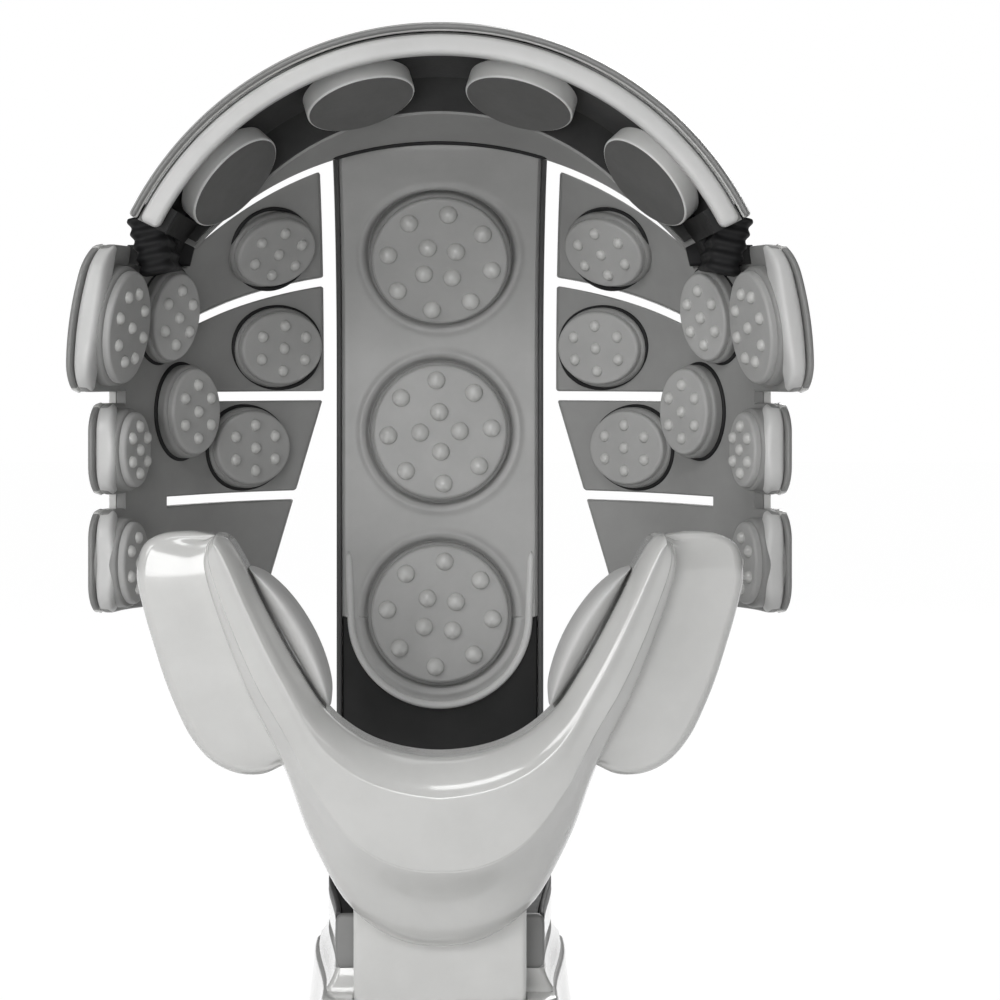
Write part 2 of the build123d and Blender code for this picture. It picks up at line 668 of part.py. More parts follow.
def tail_flange():
    """The flared foot between the tail and the base."""
    deep = TAIL_BACK_Y - TAIL_FRONT_Y
    top = Pos(0, TAIL_MIDDLE_Y, TAIL_FOOT_Z) * Rectangle(2 * SPINE_HALF, deep)
    foot = Rectangle(2 * (SPINE_HALF + TAIL_FLARE), deep + TAIL_FLARE)
    foot = Pos(0, TAIL_MIDDLE_Y + TAIL_FLARE / 2, COLLAR_Z) * foot
    body = loft([top, foot])
    return body - Pos(0, TAIL_MIDDLE_Y, COLLAR_Z) * Box(30, 30, 60)


def knead_pad(number):
    """Face, carrier and motor of one kneading pad."""
    radius, proud, seat = KNEAD_R[number], KNEAD_PROUD[number], knead_seat(number)
    back, foot = -LINER_WALL - CARRIER_BACK, proud - FACE_THICK
    carrier = Pos(0, 0, back) * extrude(Circle(radius), foot - back)
    places = []
    for count, share, start in NUB_RINGS:
        places += ring_of(count, radius * share, radius * share, start)
    face = nubbed_face(radius - FACE_INSET, radius - FACE_INSET, foot, proud, places, NUB_R, NUB_HEIGHT)
    motor = Pos(0, 0, back - MOTOR_LENGTH) * extrude(Circle(MOTOR_R), MOTOR_LENGTH)
    return seat * face, seat * carrier, seat * motor


# ---------------------------------------------------------------------------
# Controls on the back of the spine
# ---------------------------------------------------------------------------

def round_profile(radius):
    return lambda play: Circle(radius + play)


def key_profile(half_x, half_z):
    return lambda play: RectangleRounded(2 * (half_x + play), 2 * (half_z + play), half_z + play - 0.1)


BUTTONS = (
    (0, POWER_Z, round_profile(POWER_R)),
    (0, KEY_Z[0], key_profile(*KEY_HALF)),
    (0, KEY_Z[1], key_profile(*KEY_HALF)),
)


def button_holes():
    """What makes way for the three buttons, through the skin and the panel."""
    return [
        Pos(x, CAP_R + SPINE_DEPTH, z) * extrude(Plane.XZ * profile(BUTTON_PLAY), 2 * SPINE_WALL, both=True)
        for x, z, profile in BUTTONS
    ]


def button(number):
    """One button, from just over its switch to a little proud of the panel."""
    x, z, profile = BUTTONS[number]
    inner = BOARD_Y + BOARD_THICK + SWITCH_HEIGHT + BUTTON_TRAVEL + 0.1
    outer = CAP_R + SPINE_DEPTH + BUTTON_PROUD
    body = extrude(Plane(origin=(x, inner, z), x_dir=(1, 0, 0), z_dir=(0, 1, 0)) * profile(0), outer - inner)
    return fillet(body.edges().sort_by(Axis.Y)[-1:], 0.4) if number == 0 else body


def control_panel():
    middle, high = sum(CONTROL_Z) / 2, CONTROL_Z[0] - CONTROL_Z[1]
    plate = Box(2 * CONTROL_HALF, PANEL_THICK, high, align=HANGS)
    plate = Pos(0, CAP_R + SPINE_DEPTH - PANEL_DEPTH, middle) * plate
    plate = fillet(plate.edges().filter_by(Axis.Y), 0.15)
    return plate - button_holes()


def control_board():
    high = CONTROL_Z[0] - CONTROL_Z[1] - 2 * BOARD_MARGIN
    return Pos(0, BOARD_Y, sum(CONTROL_Z) / 2) * Box(2 * CONTROL_HALF, BOARD_THICK, high, align=HANGS)


def key_switches():
    box = Box(SWITCH_SIZE, SWITCH_HEIGHT, SWITCH_SIZE, align=HANGS)
    return [Pos(x, BOARD_Y + BOARD_THICK, z) * box for x, z, _ in BUTTONS]


# ---------------------------------------------------------------------------
# Yoke, wings and stem
# ---------------------------------------------------------------------------

def moved_in(points, amount):
    """The points of a closed outline, each moved inwards along its own normal."""
    around = list(zip([points[-1], *points[:-1]], points, [*points[1:], points[0]]))
    turn = sum(a[0] * b[1] - b[0] * a[1] for a, b, _ in around)
    moved = []
    for before, here, after in around:
        run = Vector(after[0] - before[0], after[1] - before[1]).normalized()
        inwards = Vector(-run.Y, run.X) * (1 if turn > 0 else -1)
        moved.append((here[0] + amount * inwards.X, here[1] + amount * inwards.Y))
    return moved


def mirrored(points):
    return [(-x, z) for x, z in reversed(points)]


def yoke_outline(shrink=0.0):
    """Front view of the U: one smooth closed line through its points."""
    right = [*YOKE_INSIDE[1:], *YOKE_TIP, *YOKE_OUTSIDE[:-1]]
    points = [YOKE_INSIDE[0], *right, YOKE_OUTSIDE[-1], *mirrored(right)]
    return make_face(Spline(*moved_in(points, shrink), periodic=True))


FACING_FRONT = Plane(origin=(0, 0, 0), x_dir=(1, 0, 0), z_dir=(0, -1, 0))


def plate(face, front, back):
    """A front view outline, made solid between two depths."""
    return extrude(Pos(0, back, 0) * (FACING_FRONT * face), back - front, dir=(0, -1, 0))


def yoke_front():
    """The glossy front shell: its rounded edge is lofted, and it is hollow from behind."""
    full = YOKE_FRONT_Y + YOKE_EDGE[-1][1]
    rims = [Pos(0, YOKE_FRONT_Y + back, 0) * (FACING_FRONT * yoke_outline(inset)) for inset, back in YOKE_EDGE]
    block = loft(rims) + plate(yoke_outline(), full, YOKE_SPLIT_Y)
    return block - plate(yoke_outline(YOKE_WALL + 1), full, YOKE_SPLIT_Y + 1)


def yoke_back():
    return plate(yoke_outline(0.2), YOKE_SPLIT_Y, YOKE_SPLIT_Y + YOKE_BACK)


STEM_FRONT_Y = YOKE_SPLIT_Y + YOKE_BACK
STEM_TOP_Z = -114.0


def stem():
    low = STEM_END_Z - HEAD_Z
    bar = Box(2 * STEM_HALF, STEM_DEPTH, STEM_TOP_Z - low, align=(Align.CENTER, Align.MIN, Align.MIN))
    bar = Pos(0, STEM_FRONT_Y, low) * bar
    return fillet(bar.edges().filter_by(Axis.Z), 1.5)


def beside_yoke(outline, grow, front, back):
    """What lies inside an outline and clear of the yoke, between two depths."""
    return plate(outline, front, back) - plate(yoke_outline(-grow), front - 1, back + 1)


def wing():
    """Right wing: a rounded flap outside the yoke's arm."""
    inner = [(x - WING_OVERLAP, z) for x, z in reversed(YOKE_OUTSIDE[:3])]
    face = make_face([Spline(*WING_OUTSIDE), Polyline(WING_OUTSIDE[-1], *inner, WING_OUTSIDE[0])])
    back = YOKE_SPLIT_Y + YOKE_BACK
    body = beside_yoke(face, WING_GAP, back - WING_THICK, back)
    return max(body.solids(), key=lambda solid: solid.volume)


def neck_pad():
    """Right neck pad: a crescent cushion on the arm's inner wall."""
    inner = [(x + NECK_PAD_OVERLAP, z) for x, z in YOKE_INSIDE[2:6]]
    face = make_face([Spline(*NECK_PAD_INSIDE), Polyline(NECK_PAD_INSIDE[-1], *inner, NECK_PAD_INSIDE[0])])
    front = YOKE_FRONT_Y + NECK_PAD_SET_BACK
    body = beside_yoke(face, PAD_PLAY, front, front + NECK_PAD_DEPTH)
    return max(body.solids(), key=lambda solid: solid.volume)


# ---------------------------------------------------------------------------
# Base, given in its own frame and moved into the head frame when written
# ---------------------------------------------------------------------------

STEM_Y = HEAD_Y + STEM_FRONT_Y + STEM_DEPTH / 2
TO_HEAD = Location((0, -HEAD_Y, -HEAD_Z))
SCREW_PLACES = ring_of(4, SCREW_RING_R, SCREW_RING_R, 45)
ON_PLATE_Z = FOOT_THICK + PLATE_THICK


def base_profile(shrink):
    """Half section of the base's shell, shrunk by a wall."""
    radius, top = BASE_R - shrink, BASE_TOP_Z - shrink
    foot = FOOT_THICK if shrink == 0 else 0
    flat, rise = radius - DOME_REACH, top - BASE_SHOULDER_Z
    return Plane.XZ * make_face(
        [
            Line((0, foot), (radius, foot)),
            Line((radius, foot), (radius, BASE_SHOULDER_Z)),
            EllipticalCenterArc((flat, BASE_SHOULDER_Z), DOME_REACH, rise, 0, arc_size=90),
            Line((flat, top), (0, top)),
            Line((0, top), (0, foot)),
        ]
    )


def base_shell():
    """A low dome with a hollow collar that takes the stem and carries the tail."""
    shell = revolve(base_profile(0), Axis.Z)
    front = STEM_Y - STEM_DEPTH / 2 - STEM_PLAY - BASE_WALL
    back = HEAD_Y + TAIL_BACK_Y + COLLAR_MARGIN + TAIL_FLARE
    deep, wide, middle = back - front, 2 * (SPINE_HALF + TAIL_FLARE + COLLAR_MARGIN), (front + back) / 2
    low, high = BASE_SHOULDER_Z, COLLAR_TOP_Z
    shell += Pos(0, middle, low) * extrude(RectangleRounded(wide, deep, COLLAR_ROUND), high - low)
    shell -= revolve(base_profile(BASE_WALL), Axis.Z)
    room = RectangleRounded(wide - 2 * BASE_WALL, deep - 2 * BASE_WALL, COLLAR_ROUND - BASE_WALL)
    shell -= Pos(0, middle, low) * extrude(room, high - low - BASE_WALL)
    for x, y in SCREW_PLACES:
        boss = Pos(x, y, ON_PLATE_Z) * Cylinder(BOSS_R, BASE_TOP_Z, align=STANDS)
        shell += boss & revolve(base_profile(0), Axis.Z)
        shell -= Pos(x, y, 0) * Cylinder(SCREW_R + PIN_PLAY, SCREW_LENGTH + FOOT_THICK + 1, align=STANDS)
    slot = Box(2 * (STEM_HALF + STEM_PLAY), STEM_DEPTH + 2 * STEM_PLAY, 3 * BASE_WALL)
    slot = Pos(0, STEM_Y, COLLAR_TOP_Z) * slot
    mouth = Box(SOCKET_SIZE[0] + 2 * SOCKET_PLAY, 30, SOCKET_SIZE[2] + 2 * SOCKET_PLAY)
    return shell - slot - Pos(0, BASE_R, SOCKET_Z) * mouth


def base_plate():
    disc = Pos(0, 0, FOOT_THICK) * extrude(Circle(BASE_R - BASE_WALL - SKIN_GAP), PLATE_THICK)
    for x, y in SCREW_PLACES:
        disc -= Pos(x, y, 0) * Cylinder(SCREW_R + 0.1, 40)
        disc -= Pos(x, y, 0) * Cylinder(SCREW_HEAD_R + 0.2, 2 * (FOOT_THICK + SCREW_HEAD_THICK))
    return disc


def base_screws():
    head = Cylinder(SCREW_HEAD_R, SCREW_HEAD_THICK, align=STANDS)
    screw = head + Cylinder(SCREW_R, SCREW_LENGTH, align=STANDS)
    return [Pos(x, y, FOOT_THICK) * screw for x, y in SCREW_PLACES]


def base_weight():
    return Pos(0, 0, ON_PLATE_Z) * Cylinder(WEIGHT_R, WEIGHT_THICK, align=STANDS)


def battery_pack():
    pack = Pos(0, BATTERY_Y, ON_PLATE_Z + WEIGHT_THICK) * Box(*BATTERY_SIZE, align=STANDS)
    return fillet(pack.edges().filter_by(Axis.X), BATTERY_ROUND)


def charging_board():
    low = SOCKET_Z - SOCKET_SIZE[2] / 2 - CHARGER_SIZE[2]
    side, radius = CHARGER_POSTS
    post = Cylinder(radius, low - ON_PLATE_Z, align=STANDS)
    posts = [Pos(x, CHARGER_Y + CHARGER_SIZE[1] / 2, ON_PLATE_Z) * post for x in (-side, side)]
    return Pos(0, CHARGER_Y, low) * Box(*CHARGER_SIZE, align=(Align.CENTER, Align.MIN, Align.MIN)) + posts


def charging_socket():
    body = Pos(0, SOCKET_Y, SOCKET_Z) * Box(*SOCKET_SIZE, align=HANGS)
    mouth = Box(*SOCKET_MOUTH, align=(Align.CENTER, Align.MAX, Align.CENTER))
    return body - Pos(0, SOCKET_Y + SOCKET_SIZE[1], SOCKET_Z) * mouth


# ---------------------------------------------------------------------------
# Write every sub-part
# ---------------------------------------------------------------------------

os.makedirs("parts", exist_ok=True)


def save_pair(name, *solids):
    """Writes a left piece and its mirror image."""
    save(f"left_{name}", *solids)
    save(f"right_{name}", *[mirror(solid, Plane.YZ) for solid in solids])


save_pair("side_liner", side_panel(0, LINER_WALL))
save_pair("side_skin", side_panel(LINER_WALL + SKIN_GAP, SKIN_OUT))
save_pair("crown_end", crown_end())
save_pair("knuckle", knuckle())
cups, faces = side_pads()
save_pair("pad_cups", *cups)
save_pair("pad_faces", *faces)
save_pair("hinge_pin", hinge_rod(PIN_R - PIN_FIT, HINGE_Y[0] + 0.2, HINGE_Y[1] - 0.2))
save("crown_liner", crown_liner())
save("crown_skin", crown_skin())
save("crown_rim", crown_rim())
cups, faces = crown_pads()
save("crown_pad_cups", *cups)
save("crown_pad_faces", *faces)
save("strap", strap())
save("nape_panel", nape_panel())
save("spine_skin", spine_skin())
save("tail_skin", tail_skin())
save("tail_flange", tail_flange())
for number, place in enumerate(("upper", "middle", "lower")):
    face, carrier, motor = knead_pad(number)
    save(f"{place}_pad_face", face)
    save(f"{place}_pad_carrier", carrier)
    save(f"{place}_pad_motor", motor)
save("control_panel", control_panel())
save("control_board", control_board())
save("key_switches", *key_switches())
for number, name in enumerate(("power_button", "mode_button", "heat_button")):
    save(name, button(number))
save("yoke_front", yoke_front())
save("yoke_back", yoke_back())
save("stem", stem())
save_pair("wing", mirror(wing(), Plane.YZ))
save_pair("neck_pad", mirror(neck_pad(), Plane.YZ))
for name, solids in {
    "base_shell": [base_shell()],
    "base_plate": [base_plate()],
    "rubber_foot": [extrude(Circle(BASE_R - 4), FOOT_THICK)],
    "base_screws": base_screws(),
    "base_weight": [base_weight()],
    "battery_pack": [battery_pack()],
    "charging_board": [charging_board()],
    "charging_socket": [charging_socket()],
}.items():
    save(name, *[TO_HEAD * solid for solid in solids])
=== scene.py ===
# %% [markdown]
# # An electric scalp massager on its stand
# The massager is a cap for the head that stands on a foot. The head goes in
# from the open front, and the neck lies in a glossy U-shaped yoke. The solid
# frame is loaded first: it gives the true size of every piece and the body
# that it moves with, so all that is made here only has to dress it.

# %% Load the frame
import bmesh
import bpy
import numpy as np
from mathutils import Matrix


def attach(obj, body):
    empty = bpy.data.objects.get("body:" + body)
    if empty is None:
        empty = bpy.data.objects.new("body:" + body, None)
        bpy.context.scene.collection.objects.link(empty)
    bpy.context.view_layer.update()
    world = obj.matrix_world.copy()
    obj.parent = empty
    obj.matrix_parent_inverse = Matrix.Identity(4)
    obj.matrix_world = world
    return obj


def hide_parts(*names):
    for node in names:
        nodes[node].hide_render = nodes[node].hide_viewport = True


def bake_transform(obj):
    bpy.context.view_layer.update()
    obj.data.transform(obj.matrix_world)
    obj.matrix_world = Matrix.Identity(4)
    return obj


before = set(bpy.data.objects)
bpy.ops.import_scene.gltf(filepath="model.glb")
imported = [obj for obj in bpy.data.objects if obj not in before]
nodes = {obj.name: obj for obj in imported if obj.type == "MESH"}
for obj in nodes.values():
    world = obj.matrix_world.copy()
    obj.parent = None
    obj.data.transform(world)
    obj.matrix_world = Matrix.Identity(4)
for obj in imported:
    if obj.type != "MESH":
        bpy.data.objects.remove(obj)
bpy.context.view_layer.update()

# %% [markdown]
# ## Measures
# All shapes below are worked out in millimetres from the middle of the cap:
# x to the right, y away from the viewer, z up. The wall of the cap is a round
# back, a flared cheek, a bend and a straighter lip, so one list of numbers
# serves the side panels, the strap and the crown band alike.

# %% Measures of the cap
CAP_MIDDLE = np.array([0.0, -8.0, 235.0])
CAP_R, CHEEK_ANGLE, CHEEK_LENGTH = 88.0, np.radians(58.0), 32.0
BEND_R, LIP_ANGLE = 40.0, np.radians(76.0)
BACK_RUN, BEND_RUN = CAP_R * CHEEK_ANGLE, BEND_R * (LIP_ANGLE - CHEEK_ANGLE)
LINER, SEAM, SKIN = 3.0, 0.3, 2.2
WALL = LINER + SEAM + SKIN
GAP, BAND_SLOPES, BAND_LEVELS = 3.0, np.radians([54.0, 21.5]), (-8.5, -41.0)
print("outside of the wall is", WALL, "mm from its inner face")

# %% [markdown]
# ## The camera
# The viewer looks straight into the open front, level with the cap's middle.
# At 800 mm, 300 mm fill the frame: a 96 mm lens on a 36 mm sensor. A small
# shift brings the yoke and the stem into the frame while the uprights stay
# parallel, as a shift lens does.

# %% Camera
VIEW_DISTANCE = 800.0
camera = bpy.data.objects.new("camera", bpy.data.cameras.new("camera"))
camera.data.sensor_width, camera.data.lens = 36.0, 96.0
camera.data.shift_x, camera.data.shift_y = 0.06, -0.13
camera.location = (CAP_MIDDLE - [0, VIEW_DISTANCE, 0]) / 1000
camera.rotation_euler = (np.pi / 2, 0.0, 0.0)
bpy.context.scene.collection.objects.link(camera)
bpy.context.scene.camera = camera
bpy.context.scene.view_settings.view_transform = "Standard"
print("camera looks along +y from", tuple(round(c, 3) for c in camera.location))

# %% [markdown]
# ## Finishes
# The shells are ABS, moulded in a polished or a lightly eroded steel mould.
# Even a polished mould leaves a faint orange peel, a slow waviness a few
# millimetres across that bends the reflections, and an eroded one leaves a
# fine grain. Colour comes from sRGB hex values, and a soft noise moves it a
# little, as pigment and handling do.


def linear(text):
    """Linear colour of an sRGB hex value."""
    value = np.array([int(text[i : i + 2], 16) for i in (1, 3, 5)]) / 255
    return (*np.where(value <= 0.04045, value / 12.92, ((value + 0.055) / 1.055) ** 2.4), 1.0)


def add(tree, kind, settings=(), values=(), links=()):
    """Adds one shader node: its settings by name, its inputs' values, and links into its inputs."""
    node = tree.nodes.new("ShaderNode" + kind)
    for key, value in dict(settings).items():
        setattr(node, key, value)
    for key, value in dict(values).items():
        node.inputs[key].default_value = value
    for key, source in dict(links).items():
        tree.links.new(source, node.inputs[key])
    return node


def cleared(owner):
    """The owner's node tree, emptied."""
    owner.use_nodes = True
    owner.node_tree.nodes.clear()
    return owner.node_tree


def noise(tree, here, size, **values):
    """A noise whose features are this many mm: coordinates are metres, so its scale is 1000 by the size."""
    values["Scale"] = 1000 / size
    return add(tree, "TexNoise", values=values, links={"Vector": here}).outputs["Fac"]


def bump(tree, height, depth, **links):
    """Relief from a pattern, this many mm deep."""
    values = {"Strength": 1.0, "Distance": depth / 1000}
    return add(tree, "Bump", values=values, links={"Height": height, **links}).outputs["Normal"]


def moulding(
    name, slot, dark, light, roughness, grain, depth, wave=0.0, coat=0.0, metal=0.0, specular=0.5, sheen=0.0
):
    """A finish: colour between two tones, roughness with handling marks, a fine grain so many mm wide and
    deep, and a slow waviness."""
    finish = bpy.data.materials.new(name)
    tree = cleared(finish)
    here = add(tree, "TexCoord").outputs["Object"]
    mottle = noise(tree, here, 28.0, Detail=5.0, Roughness=0.6)
    tone = add(tree, "ValToRGB", links={"Fac": mottle})
    for stop, place, colour in zip(tone.color_ramp.elements, (0.34, 0.66), (dark, light)):
        stop.position, stop.color = place, linear(colour)
    marks = noise(tree, here, 9.0, Detail=6.0, Roughness=0.7)
    spread = {"From Min": 0.3, "From Max": 0.7, "To Min": roughness * 0.86, "To Max": roughness * 1.14}
    rough = add(tree, "MapRange", values=spread, links={"Value": marks})
    normal = bump(tree, noise(tree, here, grain, Detail=3.0), depth)
    if wave:
        normal = bump(tree, noise(tree, here, 11.0, Detail=1.0), wave, Normal=normal)
    values = {"Metallic": metal, "Coat Weight": coat, "Coat Roughness": 0.06, "Sheen Weight": sheen}
    values["Specular IOR Level"] = specular
    links = {"Base Color": tone.outputs["Color"], "Roughness": rough.outputs["Result"], "Normal": normal}
    surface = add(tree, "BsdfPrincipled", values=values, links=links)
    add(tree, "OutputMaterial", links={"Surface": surface.outputs["BSDF"]})
    return finish


print("a middle grey, #808080, is", round(float(linear("#808080")[0]), 3), "in linear light")

# %% Moulded plastics, rubber and felt
# polished ABS: a clear highlight with a soft edge, slightly wavy
polished = moulding(
    "polished white ABS", "gloss_white", "#D1D1CF", "#D9D9D7", 0.20, 0.9, 0.004, wave=0.010, coat=1.0
)
# eroded ABS: a broad, dull highlight over a fine grain
satin_grey = moulding("satin grey ABS", "liner_grey", "#8E8E8D", "#989897", 0.42, 0.55, 0.012)
satin_strap = moulding("satin strap ABS", "liner_grey", "#ADADAC", "#B7B7B6", 0.40, 0.55, 0.012)
satin_light = moulding("satin light grey ABS", "rim_grey", "#CDCDCC", "#D6D6D5", 0.34, 0.55, 0.008)
# middle grey ABS for the tail's front cover; on the front edges of the lobes and of the crown it is painted
# shade
mid_grey_and_painted_shade = moulding("middle grey ABS and painted edge shade", "dark_grey", "#838382", "#8E8E8D", 0.40, 0.55, 0.010)
satin_white = moulding("satin white ABS", "rim_grey", "#F0F0EE", "#F7F7F5", 0.32, 0.55, 0.006)
# charcoal ABS for the nape panel and base plate; on the band's ends and hinge knuckles it is painted shade,
# and the nape panel's near-black is partly painted shade under the strap
charcoal_and_painted_shade = moulding(
    "charcoal ABS and painted shade", "dark_grey", "#1D1D1D", "#252525", 0.48, 0.55, 0.012, specular=0.25
)
satin_cup = moulding("satin pad cup ABS", "cup_grey", "#8A8A89", "#949493", 0.40, 0.55, 0.008)
# silicone rubber: soft and even, with a faint bloom that lifts its grazing edges
soft = {"specular": 0.4, "sheen": 0.06}
silicone = moulding("grey silicone rubber", "silicone_grey", "#A6A6A5", "#B1B1B0", 0.46, 0.4, 0.006, **soft)
smooth_silicone = moulding(
    "smooth charcoal silicone", "smooth_pad", "#5A5A59", "#656564", 0.50, 0.4, 0.006, **soft
)
# the nubs are the faces' silicone, made paler as painted highlight on their domes
nubs = moulding("silicone rubber lightened as painted highlight", "silicone_grey", "#CACAC8", "#D4D4D2", 0.20, 0.4, 0.002, specular=0.7)
small_nubs = moulding(
    "glossy silicone rubber lightened as painted highlight", "silicone_grey", "#BEBEBC", "#C8C8C6", 0.24, 0.4, 0.002, specular=0.6
)
foam_skin = moulding(
    "self-skinned polyurethane foam", "neck_cushion", "#CBCBCA", "#D5D5D4", 0.50, 0.7, 0.02,
    specular=0.4, sheen=0.08,
)
# painted shade: a dark lining in the crown's channel, where shade falls under and between the discs, with no
# shine and a sheen that lifts its edges
channel_shade_finish = moulding(
    "painted shade in the crown's channel", "dark_grey", "#3A3A3A", "#464646", 0.95, 0.9, 0.08, specular=0.1, sheen=0.2
)
# thermoplastic rubber with a dull shine: the screw plugs, the key marks and the bead on the crown's back
# edge.
# The same black and dark grey are painted shade on the hinge boots and seals, round the side pads' cups and
# along the strap's edges.
black_rubber_and_painted_shade = moulding(
    "black rubber and painted shade", "dark_grey", "#1A1A1B", "#222223", 0.58, 0.5, 0.010, specular=0.25
)
grey_rubber_and_painted_shade = moulding(
    "dark grey rubber and painted edge shade", "dark_grey", "#474747", "#525252", 0.52, 0.5, 0.010, specular=0.4
)
lens_white = moulding("frosted polycarbonate lens", "button_grey", "#EDEDE8", "#F3F3EF", 0.22, 0.4, 0.002)

# %% [markdown]
# ## Finishes of the works
# The hinge pins, screws and motor cans are zinc-plated steel, the weight in
# the base is raw cast iron, and the foot is black rubber. They are hardly
# seen, but a pose or a cut shows them.

# %% Metals, rubber and electrics
zinc = moulding("zinc-plated steel", None, "#A9ABAD", "#BDBFC1", 0.34, 0.35, 0.004, metal=1.0)
raw_iron = moulding("raw cast iron", None, "#2B2B2C", "#3A3A3B", 0.62, 1.1, 0.09, metal=1.0)
foot_rubber = moulding("black moulded rubber", None, "#151515", "#1E1E1E", 0.72, 0.8, 0.03, specular=0.35)
gloss_black = moulding(
    "gloss black polycarbonate", None, "#0B0B0C", "#111113", 0.10, 0.9, 0.002, wave=0.006, coat=0.5
)
key_grey = moulding("satin key ABS", None, "#B8B8B6", "#C2C2C0", 0.36, 0.5, 0.008)
solder_mask = moulding("green solder mask", None, "#0F3A20", "#16492A", 0.30, 0.6, 0.006)
shrink_wrap = moulding("blue PVC shrink wrap", None, "#26406F", "#2F4C80", 0.28, 2.2, 0.03)

# %% [markdown]
# ## Dressing the solid nodes
# Nodes whose shape is already right keep it and only take a finish. The list
# goes by what each piece is made of. Pieces made later stand for some of them.

# %% Finishes on the nodes
FINISHES = {
    polished: "side_skin wing crown_skin spine_skin tail_skin tail_flange yoke_front yoke_back stem"
    " base_shell",
    satin_grey: "side_liner crown_liner",
    satin_strap: "strap",
    satin_light: "crown_rim",
    satin_cup: "pad_cups crown_pad_cups upper_pad_carrier middle_pad_carrier lower_pad_carrier",
    silicone: "pad_faces upper_pad_face middle_pad_face lower_pad_face",
    smooth_silicone: "crown_pad_faces",
    # crown_end and knuckle are charcoal as painted shade under the band's ends
    charcoal_and_painted_shade: "nape_panel base_plate crown_end knuckle",
    foam_skin: "neck_pad",
    zinc: "hinge_pin base_screws charging_socket key_switches"
    " upper_pad_motor middle_pad_motor lower_pad_motor",
    raw_iron: "base_weight",
    foot_rubber: "rubber_foot",
    gloss_black: "control_panel",
    key_grey: "power_button mode_button heat_button",
    solder_mask: "control_board charging_board",
    shrink_wrap: "battery_pack",
}
dressed = 0
for finish, names in FINISHES.items():
    for full in (way + name for name in names.split() for way in ("", "left_", "right_")):
        if full in nodes:
            nodes[full].data.materials.clear()
            nodes[full].data.materials.append(finish)
            dressed += 1
print(dressed, "of", len(nodes), "nodes dressed")

# %% [markdown]
# ## From numbers to a mesh
# Every new piece is one or more grids of points: a shape worked out over two
# parameters, closed round its section, whose ends may shrink to a line or a
# point. The helper joins the grids, merges what meets, turns all faces
# outwards and sets the piece on the body that it moves with.

# %% Grids to pieces
def grid_faces(rows, columns):
    """Four corners of each cell of a grid whose last column meets its first."""
    row, column = np.meshgrid(np.arange(rows - 1), np.arange(columns), indexing="ij")
    after = (column + 1) % columns
    here, beyond = row * columns, (row + 1) * columns
    cells = [here + column, here + after, beyond + after, beyond + column]
    return np.stack([cell.ravel() for cell in cells], axis=1)


def piece(name, grids, body, finish, *stands_for, slot=None, sharp=40.0):
    """A piece from grids of points in mm from the cap's middle, each rows x columns x 3. A grid takes its own
    finish where there are as many finishes as grids, and the first material slot holds the first. The slot
    argument is not used."""
    points, faces, tones, start = [], [], [], 0
    finishes = finish if isinstance(finish, list) else [finish] * len(grids)
    kinds = list(dict.fromkeys(finishes))
    for grid, tone in zip(grids, finishes):
        points.append(grid.reshape(-1, 3))
        faces.append(grid_faces(*grid.shape[:2]) + start)
        tones.append(np.full(len(faces[-1]), kinds.index(tone)))
        start += len(points[-1])
    mesh = bpy.data.meshes.new(name)
    corners = (np.concatenate(points) + CAP_MIDDLE) / 1000
    mesh.from_pydata(corners.tolist(), [], np.concatenate(faces).tolist())
    for tone in kinds:
        mesh.materials.append(tone)
    mesh.polygons.foreach_set("material_index", np.concatenate(tones))
    work = bmesh.new()
    work.from_mesh(mesh)
    bmesh.ops.remove_doubles(work, verts=work.verts, dist=2e-6)
    bmesh.ops.dissolve_degenerate(work, edges=work.edges, dist=2e-6)
    bmesh.ops.recalc_face_normals(work, faces=work.faces)
    work.to_mesh(mesh)
    work.free()
    mesh.shade_smooth()
    mesh.set_sharp_from_angle(angle=np.radians(sharp))
    made = bpy.data.objects.new(name, mesh)
    bpy.context.scene.collection.objects.link(made)
    if body:
        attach(made, body)
    if stands_for:
        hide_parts(*stands_for)
    print(f"{name}: {len(mesh.polygons)} faces")
    return made


def pairs(*pieces, drawn="left", sharp=40.0):
    """Pieces on both sides, mirrored from grids drawn on one. A star in a name stands for the side."""
    made = []
    for side in ("left", "right"):
        flip = [1 if side == drawn else -1, 1, 1]
        for name, grids, body, finish, *stands_for in pieces:
            name, body, *stands_for = (text and text.replace("*", side) for text in (name, body, *stands_for))
            flipped = [grid * flip for grid in grids]
            made.append((side, piece(name, flipped, body, finish, *stands_for, sharp=sharp)))
    return made

# %% [markdown]
# ## Smooth curves
# Free shapes are drawn as a few points. A Catmull-Rom spline runs smoothly
# through them: between two points it is the cubic whose slope at each point
# is half the step from the point before to the point after. Sampled again at
# even lengths, two such curves can be joined by ribs.

# %% Curves and steps
def smooth_through(points, per_step=12):
    """A Catmull-Rom curve through points, of shape points x anything."""
    points = np.asarray(points, dtype=float)
    at = np.arange(len(points) - 1)
    t = np.linspace(0, 1, per_step, endpoint=False).reshape((1, -1) + (1,) * (points.ndim - 1))
    a, b, c, d = (points[np.clip(at + k, 0, len(points) - 1)][:, None] for k in (-1, 0, 1, 2))
    curve = 0.5 * (2 * b + (c - a) * t + (2 * a - 5 * b + 4 * c - d) * t**2 + (3 * b - a - 3 * c + d) * t**3)
    return np.concatenate([curve.reshape((-1,) + points.shape[1:]), points[-1:]])


def evenly(curve, count):
    """The curve sampled again at even lengths."""
    reach = np.concatenate([[0], np.cumsum(np.linalg.norm(np.diff(curve, axis=0), axis=1))])
    at = np.linspace(0, reach[-1], count)
    return np.stack([np.interp(at, reach, axis) for axis in curve.T], axis=1)


